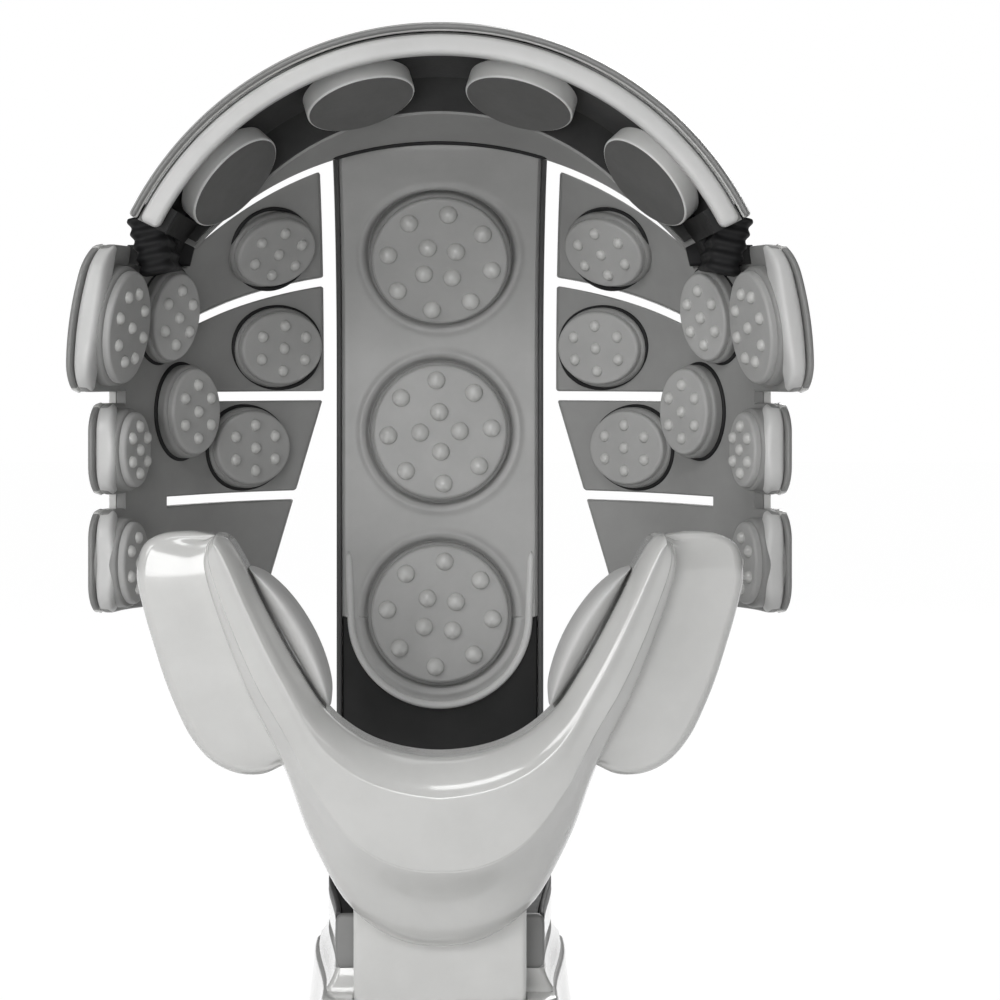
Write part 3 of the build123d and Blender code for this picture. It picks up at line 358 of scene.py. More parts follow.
def ribbed(one, other, columns, smooth=7):
    """Ribs from one curve to another, both points x (across, height): each column is a share of the way and a
    depth for every rib, and a smooth line runs through the columns."""
    controls = [np.hstack([share + 0 * one[:, :1], depth + 0 * one[:, :1]]) for share, depth in columns]
    lines = smooth_through(controls, smooth)
    flat = one[:, None] + (other - one)[:, None] * lines[..., 0].T[..., None]
    return np.stack([flat[..., 0], lines[..., 1].T, flat[..., 1]], axis=-1)


def shut_ends(body):
    """Rows closed at both ends by a row in which all points meet in the middle."""
    shut = body.mean(axis=1, keepdims=True) + 0 * body
    return np.concatenate([shut[:1], body, shut[-1:]])


def squeezed_ends(body):
    """Rows of a thin bent section closed at both ends: each point meets its partner on the other side."""
    half = (body + body[:, ::-1]) / 2
    return np.concatenate([half[:1], body, half[-1:]])


def circle(count):
    """Angles of a full turn, as a row."""
    return np.linspace(0, 2 * np.pi, count, endpoint=False)[None, :]


def eased(way):
    """Three times the square less two times the cube: a smooth step from 0 to 1."""
    way = np.clip(way, 0, 1)
    return way * way * (3 - 2 * way)


def blunt(count, power):
    """Size along a rod with blunt ends: the root of one less a high power of the way from its middle."""
    return np.sqrt(1 - np.abs(np.linspace(-1, 1, count)) ** power)[:, None]


print("a quarter of the way is eased to", float(eased(0.25)))

# %% [markdown]
# ## The wall of the cap as a function
# A side panel is a piece of one bent wall. The place of a point on it follows
# from three numbers: how far it is round the wall from the middle of the back,
# its height, and how far it lies outside the inner face. Above the middle the
# wall turns into a dome: the same line, turned about the front-to-back axis.

# %% Wall, and the way back from a depth
def wall(run, step):
    """Half width and depth after a run round the wall, moved out by step: the arc of the back,
    then the cheek's line, the bend's arc and the lip's line, added up."""
    first = np.minimum(run, BACK_RUN) / CAP_R
    cheek = np.clip(run - BACK_RUN, 0, CHEEK_LENGTH)
    bend = CHEEK_ANGLE + np.clip(run - BACK_RUN - CHEEK_LENGTH, 0, BEND_RUN) / BEND_R
    lip = np.maximum(run - BACK_RUN - CHEEK_LENGTH - BEND_RUN, 0)
    turn = np.where(run < BACK_RUN, first, bend)
    half = CAP_R * np.sin(first) + cheek * np.cos(CHEEK_ANGLE) + BEND_R * (np.sin(bend) - np.sin(CHEEK_ANGLE))
    deep = CAP_R * np.cos(first) - cheek * np.sin(CHEEK_ANGLE) + BEND_R * (np.cos(bend) - np.cos(CHEEK_ANGLE))
    half, deep = half + lip * np.cos(LIP_ANGLE), deep - lip * np.sin(LIP_ANGLE)
    return half + step * np.sin(turn), deep + step * np.cos(turn), turn


def run_at(depth):
    """The run round the wall at which its inner face has this depth."""
    runs = np.linspace(0, 175, 3000)
    return np.interp(-np.asarray(depth, dtype=float), -wall(runs, 0)[1], runs)


def on_wall(run, height, step):
    """Points on the left wall: straight below the middle, a dome turned about the depth axis above it."""
    half, deep, _ = wall(run, step)
    across = -np.sqrt(np.maximum(half**2 - np.maximum(height, 0) ** 2, 0))
    return np.stack([across, deep, height + 0 * deep], axis=-1)


def depth_in_front(run, step):
    """Depth of the inner face where it is as wide: an edge that is cut straight back follows it."""
    half, deep, _ = wall(np.linspace(0, 120, 3000), 0)
    return np.interp(wall(run, step)[0], np.maximum.accumulate(half), deep)


print("the panels' front rims lie", round(float(run_at(-23.0))), "mm round the wall")

# %% [markdown]
# ## A slab with rounded edges
# Every band and lobe is a slab: long round the wall, some thirty millimetres
# tall and a few thick. Moulded edges are never sharp, so its section is a
# rectangle with rounded corners, and its ends shrink in a quarter circle
# before they close. Where two slabs meet the end stays full.

# %% Rounded sections and their rows
def rounded_section(tall):
    """A loop round a rectangle: shares of its two sides, and the corner radius's part in each."""
    side = np.linspace(0, 1, tall + 1)
    quarter = np.radians([22.5, 45.0, 67.5, 90.0])

    def corner(a, b, turn):
        return np.stack([a + 0 * turn, b + 0 * turn, 1 - 2 * a + np.cos(turn), 1 - 2 * b + np.sin(turn)])

    loops = [
        np.stack([side, 0 * side, 1 - 2 * side, 0 * side]),
        corner(1.0, 0.0, quarter - np.pi / 2),
        corner(1.0, 1.0, quarter - np.radians(22.5)),
        np.stack([side[::-1], 1 + 0 * side, 1 - 2 * side[::-1], 0 * side]),
        corner(0.0, 1.0, quarter + np.pi / 2),
        corner(0.0, 0.0, quarter + np.pi - np.radians(22.5)),
    ]
    return np.concatenate(loops, axis=1)


def rounded_box(tall, start, end, foot, top, corner):
    """The loop's points between two bounds each way, with this corner radius."""
    along, up, along_mm, up_mm = rounded_section(tall)
    return start + along * (end - start) + corner * along_mm, foot + up * (top - foot) + corner * up_mm


def rows(count, corner, round_start=True, round_end=True, crowd=1.0):
    """Rows along a slab: share of the run, mm added to it, mm of inset, and 1 where the row is shut."""
    turn = np.radians(np.linspace(0, 90, 6))
    cap = np.stack([0 * turn, corner * (1 - np.cos(turn)), corner * (1 - np.sin(turn)), 0 * turn], axis=1)
    share = 1 - (1 - np.linspace(0, 1, count)[1:-1]) ** crowd
    plus = corner * (round_start * (1 - share) - round_end * share)
    middle = np.stack([share, plus, 0 * share, 0 * share], axis=1)
    rounded, full = np.vstack([[0, 0, corner, 1], cap]), np.array([[0, 0, 0, 1.0], [0, 0, 0, 0]])
    start, end = rounded if round_start else full, rounded if round_end else full
    return np.vstack([start, middle, end[::-1] * [1, -1, 1, 1] + [1, 0, 0, 0]])


def slab(start, end, edges, inner, outer, corner, steps, tall=14, cut_back=False):
    """A slab of the wall from one run to an end that goes by height and step; edges gives its foot and top
    at a depth. As each depends on the other, they are worked out in turn until they agree. cut_back edges
    keep the inner face's height."""
    share, plus, inset, shut = (column[:, None] for column in steps.T)
    up, thick, up_mm, thick_mm = rounded_section(tall)
    radius = corner - inset
    step = inner + inset + thick * (outer - inner - 2 * inset) + radius * thick_mm
    step = np.where(shut > 0, (inner + outer) / 2, step)
    height = np.zeros_like(step)
    for _ in range(40):
        reach = end(height, step) - start
        run = start + share * reach + np.sign(reach) * plus
        foot, top = edges(depth_in_front(run, step) if cut_back else wall(run, step)[1])
        height = 0.5 * height + 0.5 * (foot + inset + up * (top - foot - 2 * inset) + radius * up_mm)
    return on_wall(run, height, step)


print("a band's section has", rounded_section(14).shape[1], "points")

# %% [markdown]
# ## Side panels
# Each side panel has four bands that run round the back of the head, parted by
# narrow gaps, and three short lobes that reach round the temples. A satin grey
# liner faces the head and a polished white skin covers it. The lobes end in a
# rolled rim, which is the bright edge that one sees from the front. A thin grey
# strip round it is painted shade on the skin's edge. The gaps are cut straight
# back, so one looks through them.

# %% Outlines of the bands and lobes
SLIT_X, SLIT_FLARE_X, PANEL_FOOT, PANEL_TOP = 38.5, 57.0, -73.0, 37.0
FRAME_FRONT, FRAME_BACK, NOTCH_Z = 11.0, 30.0, 32.0
LOBES = ((-23.0, -6.5, PANEL_TOP), (-6.0, -37.5, -10.0), (-6.0, PANEL_FOOT, -42.0))  # front, foot and top
LOBE_CORNER, RIM_LENGTH, LOBE_SHADE_EDGE = 9.0, 8.0, 2.1


def gap_edge(gap, side, deep):
    """Height of a gap's lower (-1) or upper (1) edge at a depth: two gaps slope and two are level."""
    if gap < 2:
        return deep * np.tan(BAND_SLOPES[gap]) + side * GAP / 2 / np.cos(BAND_SLOPES[gap])
    return BAND_LEVELS[gap - 2] + side * GAP / 2


def band_edges(band):
    """A band's foot and top at a depth: it fills the room between two gaps, or to the panel's top or foot."""
    return lambda deep: (
        PANEL_FOOT if band == 3 else gap_edge(band + 1, 1, deep),
        gap_edge(band, -1, deep) if band else np.maximum(PANEL_TOP, gap_edge(0, -1, deep)),
    )


def slit_run(height, step):
    """The run at which a band ends: its half width there is the slit's, which flares in the lowest bands."""
    fall = np.clip((BAND_LEVELS[0] - height) / (BAND_LEVELS[0] - PANEL_FOOT), 0, 1)
    half = SLIT_X + fall * (SLIT_FLARE_X - SLIT_X)
    reach = np.sqrt(half**2 + np.maximum(height, 0) ** 2)
    return CAP_R * np.arcsin(np.minimum(reach / (CAP_R + step), 0.999))


def corner_cut(way):
    """How far a rounded corner cuts in, at this way from the edge: one less the sine of a quarter circle."""
    return LOBE_CORNER - np.sqrt(LOBE_CORNER**2 - (LOBE_CORNER - np.clip(way, 0, LOBE_CORNER)) ** 2)


def lobe_edges(front, foot, top):
    """A lobe's foot and top at a depth, with its two rounded front corners. The top lobe is notched."""

    def edges(deep):
        cut = corner_cut(deep - front)
        notch = np.interp(deep, [-2.5, -1.0], [PANEL_TOP, NOTCH_Z]) if top == PANEL_TOP else top
        return foot + cut, np.minimum(top - cut, notch)

    return edges


def side_layer(inner, outer, corner):
    """Strip, bands and lobes of one layer of the left panel."""
    back, front = run_at(FRAME_BACK), run_at(FRAME_FRONT)
    layer = (inner, outer, corner)
    steps = rows(8, 0, False, False)
    grids = [slab(back, lambda *_: front, lambda deep: (PANEL_FOOT, NOTCH_Z), *layer, steps, 30)]
    for band in range(4):
        grids.append(slab(back, slit_run, band_edges(band), *layer, rows(44, corner, False), cut_back=True))
    for lobe in LOBES:
        end = run_at(lobe[0] + RIM_LENGTH / 2)
        steps = rows(26, corner, False, crowd=1.8)
        grids.append(slab(front, lambda *_: end, lobe_edges(*lobe), *layer, steps))
    return grids


def lobe_rims(inner, outer, bulge, proud):
    """Front rims of the lobes: at each height a section whose sine and cosine are raised to the power 0.6,
    which squares an ellipse up. Its inner side bulges by one less the square of the way from the middle."""
    wide, thick = (np.sign(way) * np.abs(way) ** 0.6 for way in (np.cos(circle(40)), np.sin(circle(40))))
    up = 0.5 - 0.5 * np.cos(np.linspace(0, np.pi, 61))[:, None]
    inside = inner - bulge * (1 - (2 * up - 1) ** 2)
    grids = []
    for front, foot, top in LOBES:
        height = foot - proud + up * (top - foot + 2 * proud)
        to_edge = np.minimum(height - foot, top - height) + proud
        start = run_at(front + RIM_LENGTH + 1.0)
        end = run_at(front - proud + np.minimum(corner_cut(to_edge), RIM_LENGTH))
        full = np.sqrt(1 - (1 - np.clip(to_edge / 1.6, 0, 1)) ** 2)
        run = (start + end) / 2 + (end - start) / 2 * full * wide
        grids.append(on_wall(run, height, (inside + outer) / 2 + (outer - inside) / 2 * full * thick))
    return grids


layer, rims = side_layer(LINER + SEAM, WALL, 0.8), lobe_rims(-0.4, WALL - LOBE_SHADE_EDGE, 3.0, 0.0)
tones = len(layer) * [polished] + len(rims) * [satin_light]
pairs(
    ("*_panel_liner", side_layer(0.0, LINER, 0.9), "*_side", satin_grey, "*_side_liner"),
    ("*_panel_skin", layer + rims, "*_side", tones, "*_side_skin"),
    # grey strips on the lobes' front edges: painted shade on the skin's edge
    ("*_lobe_edging", lobe_rims(WALL - LOBE_SHADE_EDGE - 0.1, WALL + 0.1, 0.0, 0.2), "*_side", mid_grey_and_painted_shade),
)

# %% [markdown]
# ## Nubbed pads
# The pads that rub the scalp are silicone discs with small round nubs, each
# glued in a cup. A pad is worked out on a flat seat first and then carried to
# its place: rings of an ellipse for the cup and the disc, and a ring of
# points for the nubs. A nub is a dome that stands straight on the disc, so a
# thin shadow lies round its foot.

# %% Seats, ovals and nubs
FACE_THICK, FACE_INSET, FACE_CROWN, CUP_FOOT = 2.2, 1.2, 0.35, -3.0
NUB_RING, NUB_R, NUB_HEIGHT = 0.62, 1.9, 1.6


def seat_facing(point, inward):
    """Corner and three directions of a seat: inward is its normal, and its second direction looks up."""
    inward = np.asarray(inward, dtype=float) / np.linalg.norm(inward)
    rise = np.array([0, 0, 1.0]) - inward * inward[2]
    rise /= np.linalg.norm(rise)
    return np.asarray(point, dtype=float), np.stack([np.cross(rise, inward), rise, inward])


def oval(seat, half_x, half_y, profile, around=64, middle=(0, 0)):
    """Rings of an ellipse on a seat: each row of the profile is share of the half widths, mm taken off them,
    height."""
    share, less, height = (column[:, None] for column in np.asarray(profile, dtype=float).T)
    turn = circle(around)
    across = middle[0] + (half_x - less) * share * np.cos(turn)
    up = middle[1] + (half_y - less) * share * np.sin(turn)
    return seat[0] + np.stack([across, up, height + 0 * turn], axis=-1) @ seat[1]


def rounded_rim(top, radius):
    """Profile rows of a rounded edge at height top: a quarter circle."""
    turn = np.radians(np.linspace(0, 90, 6))
    return [(1.0, radius * (1 - np.cos(t)), top - radius * (1 - np.sin(t))) for t in turn]


def cup_rows(foot, top, lip=1.2):
    """A cup: a solid with a rounded upper edge."""
    foot_rows = [(0, 0, foot), (1, 0, foot), (1, 0, foot + 0.4)]
    return [*foot_rows, *rounded_rim(top, lip), (0.5, lip, top), (0, 0, top)]


def disc_rows(foot, top, edge=1.0, crown=FACE_CROWN):
    """A disc with a rounded edge, crowned by a little: height falls off as the square of the share."""
    inside = [(share, edge, top + crown * (1 - share**2)) for share in (0.95, 0.85, 0.7, 0.5, 0.25, 0.0)]
    return [(0, 0, foot), (1, 0, foot), *rounded_rim(top, edge), *inside]


DOME = [(np.sin(t), np.cos(t)) for t in np.radians(range(0, 90, 12))] + [(1.0, -0.1), (1.06, -0.16)]


def nub(seat, place, radius, height, foot):
    """A dome of this radius and height, whose foot goes straight down into the disc."""
    return oval(seat, radius, radius, [(share, 0, foot + height * rise) for share, rise in DOME], 22, place)


def ring_of(count, half_x, half_y, start):
    """Points round an ellipse."""
    turn = np.radians(start) + 2 * np.pi * np.arange(count) / count
    return list(zip(half_x * np.cos(turn), half_y * np.sin(turn)))


def wall_ring(deep, height, half_x, half_y, thick):
    """A bead on the wall round an oval: its run and its way up go round with the cosine and sine of one
    angle, and the bead's section with a second one. Above the middle the way up bends over the dome."""
    turn, ring = circle(72).T, circle(12)
    start = run_at(deep)
    run = start + (half_x + thick * np.cos(ring)) * np.cos(turn)
    half = wall(run, 0)[0]
    middle = min(height, 0) + half * np.arcsin(max(height, 0) / wall(start, 0)[0])
    way = middle + (half_y + thick * np.cos(ring)) * np.sin(turn)
    grid = on_wall(run, np.where(way > 0, half * np.sin(way / half), way), -thick * np.sin(ring))
    return np.concatenate([grid, grid[:1]])


print("a nub is", len(DOME), "rings")

# %% Pads of the side panels
# depth and height on the wall, half width and height, stand, turn to the front in degrees, nubs in the ring
SIDE_PADS = (
    (56.0, 39.5, 17.0, 13.0, 5.5, 0.0, 6),
    (69.0, 7.5, 17.0, 13.0, 5.5, 0.0, 6),
    (61.0, -25.0, 17.0, 13.0, 5.5, 0.0, 6),
    (25.5, 17.2, 11.5, 14.8, 7.0, 4.0, 6),
    (36.0, -13.0, 12.5, 14.6, 7.0, 4.0, 6),
    (-6.5, 13.5, 14.5, 18.0, 8.0, 6.0, 8),
    (5.0, -24.0, 10.0, 12.5, 7.0, 6.0, 6),
    (4.0, -58.0, 10.0, 13.5, 7.0, 6.0, 6),
)
cups, faces, tones, shade_beads = [], [], [], []
for deep, height, half_x, half_y, stand, lean, count in SIDE_PADS:
    # for the pads further back, a black ring on the wall round each cup's foot: painted shade
    if deep > FRAME_FRONT:
        shade_beads.append(wall_ring(deep, height, half_x + 0.2, half_y + 0.2, 0.8))
    half, _, turn = wall(run_at(deep), 0)
    lifted, lean = max(height, 0), np.radians(lean)
    across = -np.sqrt(half**2 - lifted**2)
    aside = np.sin(turn - lean) / half
    seat = seat_facing((across, deep, height), (-aside * across, -np.cos(turn - lean), -aside * lifted))
    cups.append(oval(seat, half_x, half_y, cup_rows(CUP_FOOT, stand - FACE_THICK)))
    wide, tall = half_x - FACE_INSET, half_y - FACE_INSET
    faces.append(oval(seat, wide, tall, disc_rows(stand - FACE_THICK - 0.5, stand)))
    # the nubs are paler than the face: painted highlight
    tones += [silicone] + (1 + count) * [small_nubs]
    for place in [(0, 0)] + ring_of(count, wide * NUB_RING, tall * NUB_RING, 30):
        fall = (place[0] / wide) ** 2 + (place[1] / tall) ** 2
        faces.append(nub(seat, place, NUB_R, NUB_HEIGHT, stand + FACE_CROWN * (1 - fall)))
pairs(
    ("*_cups", cups, "*_side", satin_cup, "*_pad_cups"),
    ("*_pad_seals", shade_beads, "*_side", black_rubber_and_painted_shade),
    ("*_nubbed_faces", faces, "*_side", tones, "*_pad_faces"),
)

# %% [markdown]
# ## Kneading pads
# The three pads on the strap are larger and move: a motor on each pushes it.
# They carry eight nubs in a ring and four in the middle.

# %% The three kneading pads
# place, radius, height in mm or, on the arc, in degrees, stand, and where the two rings of nubs start
KNEAD = (
    ("upper", 23.5, 25.5, 6.0, (-9, 37)),
    ("middle", 23.5, -20.5, 3.6, (4, 2)),
    ("lower", 24.0, -81.0, 3.0, (-5, 38)),
)
KNEAD_NUB_R, KNEAD_NUB_HEIGHT, KNEAD_CROWN = 3.0, 2.8, 0.5
for place, radius, spot, proud, starts in KNEAD:
    if place == "upper":
        outward = np.array([0, np.cos(np.radians(spot)), np.sin(np.radians(spot))])
        seat = seat_facing(CAP_R * outward, -outward)
    else:
        seat = seat_facing((0, CAP_R, spot), (0, -1, 0))
    cup = oval(seat, radius, radius, cup_rows(-LINER - 0.6, proud - FACE_THICK + 0.5, 1.0), 96)
    piece(f"{place}_cup", [cup], f"{place}_pad", satin_cup, f"{place}_pad_carrier")
    disc = radius - FACE_INSET
    grids = [oval(seat, disc, disc, disc_rows(proud - FACE_THICK, proud, 1.1, KNEAD_CROWN), 96)]
    for count, share, start in ((8, 0.73, starts[0]), (4, 0.28, starts[1])):
        for x, y in ring_of(count, radius * share, radius * share, start):
            lift = KNEAD_CROWN * (1 - (x**2 + y**2) / radius**2)
            grids.append(nub(seat, (x, y), KNEAD_NUB_R, KNEAD_NUB_HEIGHT, proud + lift))
    # the nubs are paler than the face: painted highlight
    tones = [satin_strap] + (len(grids) - 1) * [nubs]
    piece(f"{place}_nubbed_face", grids, f"{place}_pad", tones, f"{place}_pad_face", slot="silicone_grey")

# %% [markdown]
# ## Crown band
# The band over the top of the head is turned about the front-to-back axis: a
# thin white skin, a light grey rim that faces the viewer across a dark seam,
# and a grey liner with a deep channel, in which four smooth discs sit. A grey
# half round on the skin's front edge and a dark lining in the channel are
# painted shade. The band's back edge is cut by a plane that follows the gap to
# the strap.

# %% Skin, rim and liner of the crown
CROWN_R, CROWN_SKIN, CROWN_LINER, CROWN_FRONT, CROWN_END = 103.5, 2.5, 2.5, -20.0, np.radians(63.5)
CHANNEL_R, CHANNEL_BACK, RIM_DEPTH, RIM_R, RIM_CORNER, LIP = 98.0, 36.0, 5.5, 92.4, 1.6, 2.0
CROWN_SHADE_IN, CROWN_SHADE_THICK, CROWN_SHADE_DEEP, CROWN_SHADE_BEHIND = 0.8, 0.9, 1.9, 1.7


def turned(radius, deep, angle):
    """Points at a radius and depth, turned by an angle from the top."""
    return np.stack([radius * np.sin(angle), deep + 0 * angle, radius * np.cos(angle)], axis=-1)


def back_edge(ball, angle, shift):
    """Polar angle at which a ball meets the sloping plane: A sin b - B cos b = shift / ball."""
    a, b = np.cos(angle) * np.cos(BAND_SLOPES[0]), np.sin(BAND_SLOPES[0])
    return np.arctan2(b, a) + np.arcsin(shift / (ball * np.hypot(a, b)))


def lip_polar(ball, deep, angle, thick):
    """Polar angle of a depth on a ball, but never nearer to the gap than this thickness."""
    return np.maximum(np.arccos(deep / ball), back_edge(ball, angle, GAP / 2 + thick))


def on_ball(ball, start, end, share):
    """Radius and depth of points on a ball, from one polar angle to another."""
    polar = start + (end - start) * share
    return ball * np.sin(polar), ball * np.cos(polar)


def arch_angles(corner, radius):
    """Angles, inset and shut flag of the rows of an arch, with rounded ends."""
    share, plus, inset, shut = (column[:, None] for column in rows(97, corner).T)
    return -CROWN_END + 2 * CROWN_END * share + plus / radius, inset, shut


def crown_shell(inner, outer, front, shift, corner):
    """A shell of a ball between two radii, from a front depth back to the sloping plane."""
    angle, inset, shut = arch_angles(corner, outer)
    middle = (inner + outer) / 2
    start = np.arccos(front / middle)
    length = (start - back_edge(middle, angle, shift)) * middle
    place, radius = rounded_box(30, inset, length - inset, inner + inset, outer - inset, corner - inset)
    polar, radius = start - place / middle, np.where(shut > 0, middle, radius)
    return turned(radius * np.sin(polar), radius * np.cos(polar), angle)


def crown_rim():
    """A rectangle with rounded corners, turned: radius across, depth along."""
    outer = np.sqrt((CROWN_R - CROWN_SKIN) ** 2 - CROWN_FRONT**2) - 0.5
    angle, inset, shut = arch_angles(2.2, outer)
    front, back = CROWN_FRONT + inset, CROWN_FRONT + RIM_DEPTH - inset
    corner = np.maximum(RIM_CORNER - inset, 0)
    deep, radius = rounded_box(3, front, back, RIM_R + inset, outer - inset, corner)
    return turned(radius, np.where(shut > 0, CROWN_FRONT + RIM_DEPTH / 2, deep), angle)


def crown_edge_shade():
    """A half round in section, turned, on the front edge of the skin: its grey is painted shade there."""
    middle = np.sqrt((CROWN_R - CROWN_SHADE_IN) ** 2 - CROWN_FRONT**2)
    angle, inset, shut = arch_angles(1.4, middle)
    size, turn = np.where(shut > 0, 0.0, 1 - inset / 1.5), circle(20)
    radius, deep = middle + CROWN_SHADE_THICK * size * np.cos(turn), CROWN_SHADE_BEHIND + CROWN_SHADE_DEEP * size * np.sin(turn)
    return turned(radius, CROWN_FRONT + deep, angle)


def crown_lining():
    """The liner's profile, inner side then outer side: the channel's ball, the lip's wall, the inner ball."""
    angle = np.linspace(-CROWN_END, CROWN_END, 97)[:, None]
    outer, ceiling, behind = CAP_R + CROWN_LINER, CHANNEL_R + CROWN_LINER, CHANNEL_BACK + CROWN_LINER
    front = CROWN_FRONT + RIM_DEPTH + 0.2
    parts = [
        (CHANNEL_R, np.arccos(front / CHANNEL_R), lip_polar(CHANNEL_R, CHANNEL_BACK - LIP, angle, LIP)),
        (CAP_R, lip_polar(CAP_R, CHANNEL_BACK, angle, LIP), lip_polar(CAP_R, CAP_R, angle, 0.0)),
        (outer, lip_polar(outer, outer, angle, 0.0), lip_polar(outer, behind, angle, 0.0)),
        (ceiling, lip_polar(ceiling, behind, angle, 0.0), np.arccos(front / ceiling)),
    ]
    profile = [on_ball(*part, np.linspace(0, 1, 16)) for part in parts]
    return squeezed_ends(turned(*(np.concatenate(side, axis=1) for side in zip(*profile)), angle))


skin = crown_shell(CROWN_R - CROWN_SKIN, CROWN_R, CROWN_FRONT + 1, GAP / 2, 1.0)
piece("crown_shell", [skin], "stand", polished, "crown_skin")
# a grey half round on the skin's front edge: painted shade
piece("crown_edge_shade", [crown_edge_shade()], "stand", mid_grey_and_painted_shade)
piece("crown_front_rim", [crown_rim()], "stand", satin_light, "crown_rim")
piece("crown_lining", [crown_lining()], "stand", satin_grey, "crown_liner")

# %% Painted shade in the channel
angle = np.linspace(-CROWN_END + 0.02, CROWN_END - 0.02, 97)[:, None]
layers = []
for lift in (0.6, 0.05):
    ball, foot = CHANNEL_R - lift, CAP_R + 0.5
    front = np.arccos((CROWN_FRONT + RIM_DEPTH + 0.3) / ball)
    behind = lip_polar(ball, CHANNEL_BACK - LIP - lift, angle, LIP + lift)
    radius, deep = on_ball(ball, front, behind, np.linspace(0, 1, 24))
    end = lip_polar(foot, CHANNEL_BACK - 0.5 - lift, angle, LIP + lift)
    way = np.linspace(0, 1, 6)[1:]
    rise = radius[:, -1:] + (foot * np.sin(end) - radius[:, -1:]) * way
    back = deep[:, -1:] + (foot * np.cos(end) - deep[:, -1:]) * way
    layers.append((np.hstack([radius, rise]), np.hstack([deep, back])))
profile = [np.hstack([top, under[:, ::-1]]) for top, under in zip(*layers)]
# a dark lining under and between the discs: painted shade
piece("channel_shade_lining", [squeezed_ends(turned(*profile, angle))], "stand", channel_shade_finish)

# %% The four smooth discs
TILT = np.radians(19.0)
DISC_R, DISC_OUT, DISC_DEEP = 17.0, 84.5, 15.0
disc_cup = [(0, 0, -6.5), (1, 0.6, -6.5), (1, 0, -5.9), *rounded_rim(-0.1, 0.7)]
disc_cup += [(0.9, 0.7, -0.6), (0, 0, -0.6)]
neck = [(0, 0, -12.8), (1, 0, -12.8), (1, 0, -7.0), (1.3, 0, -6.4), (0, 0, -6.4)]
cups, faces = [], []
for angle in np.radians([-47.5, -16.5, 16.5, 47.5]):
    outward, ahead = np.array([np.sin(angle), 0, np.cos(angle)]), np.array([0, 1.0, 0])
    seat = seat_facing(DISC_OUT * outward + DISC_DEEP * ahead, -np.cos(TILT) * outward - np.sin(TILT) * ahead)
    cups += [oval(seat, DISC_R, DISC_R, disc_cup), oval(seat, 7.0, 7.0, neck, 40)]
    faces.append(oval(seat, DISC_R - 0.5, DISC_R - 0.5, disc_rows(-1.0, 0.1, 0.5, 0.5)))
piece("crown_disc_cups", cups, "stand", satin_white, "crown_pad_cups")
piece("crown_disc_faces", faces, "stand", smooth_silicone, "crown_pad_faces")

# %% [markdown]
# ## Strap and spine
# The wide strap runs from the crown down behind the head and ends in a round
# tongue. It is one line seen from the side, an arc and then a straight, and
# everything on the spine is that line moved outwards: the strap, the darker
# panel that goes on under it, and the white shell that wraps all of it and
# bends forward at the foot. The strap is a height field over its length and
# width, with a pocket under each pad and a raised lip round it.

# %% The spine's line
SPINE_HALF, SPINE_WALL, SPINE_DEPTH, SPINE_DROP = 34.5, 2.2, 15.5, 110.0
TAIL_R, TAIL_FRONT, TAIL_NARROWS, TAPER_BACK, TAPER_LENGTH = 46.0, -36.0, 0.13, 30.0, 66.0
SPINE_TOP = BAND_SLOPES[0] + (GAP / 2 - SEAM) / CROWN_R
SPINE_ARC = CAP_R * SPINE_TOP
SPINE_STRAIGHT = SPINE_ARC + SPINE_DROP
SPINE_BEND = SPINE_STRAIGHT + TAIL_R * np.pi / 2
SPINE_END = SPINE_BEND + CAP_R - TAIL_R - TAIL_FRONT


def tapered(deep, height):
    """Share of its width that the tail keeps: it narrows smoothly from its back to its front."""
    return np.where(height < -SPINE_DROP, 1 - TAIL_NARROWS * eased((TAPER_BACK - deep) / TAPER_LENGTH), 1.0)


def spine(run, across, step):
    """Points of the spine, run mm from its top, at this step outwards: arc, straight, bend forward and
    straight again."""
    drop = np.clip(run - SPINE_ARC, 0, SPINE_DROP)
    bend = np.clip((run - SPINE_STRAIGHT) / TAIL_R, 0, np.pi / 2)
    ahead = np.maximum(run - SPINE_BEND, 0)
    angle = np.where(run < SPINE_ARC, SPINE_TOP - run / CAP_R, -bend)
    middle = np.where(bend > 0, CAP_R - TAIL_R, 0.0)
    radius = np.where(bend > 0, TAIL_R, CAP_R) + step
    deep, height = middle + radius * np.cos(angle) - ahead, radius * np.sin(angle) - drop
    return np.stack([across * tapered(deep, height), deep, height], axis=-1)


print("the spine is", round(float(SPINE_END)), "mm long along its inner face")

# %% The strap
STRAP_SHADE_EDGE, TONGUE_Z, TONGUE_R = 1.9, -82.0, 30.0
POCKET_DEEP, POCKET_EDGE, POCKET_WALL = 1.7, 1.35, 1.2
LIP_HIGH, LIP_AWAY, LIP_WIDE, ROLL, ROLL_START = 0.8, 2.8, 1.2, 1.2, 0.965
STRAP_HALF, TONGUE_RUN = SPINE_HALF - STRAP_SHADE_EDGE, SPINE_ARC - TONGUE_Z


def strap_half(run):
    """Half width of the strap: full, then a round end."""
    below = np.maximum(run - TONGUE_RUN, 0)
    tongue = TONGUE_R * np.sqrt(np.maximum(1 - (below / TONGUE_R) ** 2, 0))
    return np.where(below > 0, tongue, STRAP_HALF)


def strap_rise(run, across):
    """Height of the strap's face: a pocket under each pad, whose wall rises smoothly, and a low lip round
    it, both from the distance to the pad's middle. Its top end falls away."""
    rise = -1.8 * np.exp(-((run / 1.6) ** 2)) + 0 * across
    for place, radius, spot, _, _ in KNEAD:
        middle = SPINE_ARC - (CAP_R * np.radians(spot) if place == "upper" else spot)
        away = np.hypot(run - middle, across) - radius
        rise = rise - POCKET_DEEP * eased((POCKET_EDGE - away) / POCKET_WALL)
        rise = rise + LIP_HIGH * np.exp(-(((away - LIP_AWAY) / LIP_WIDE) ** 2))
    return rise


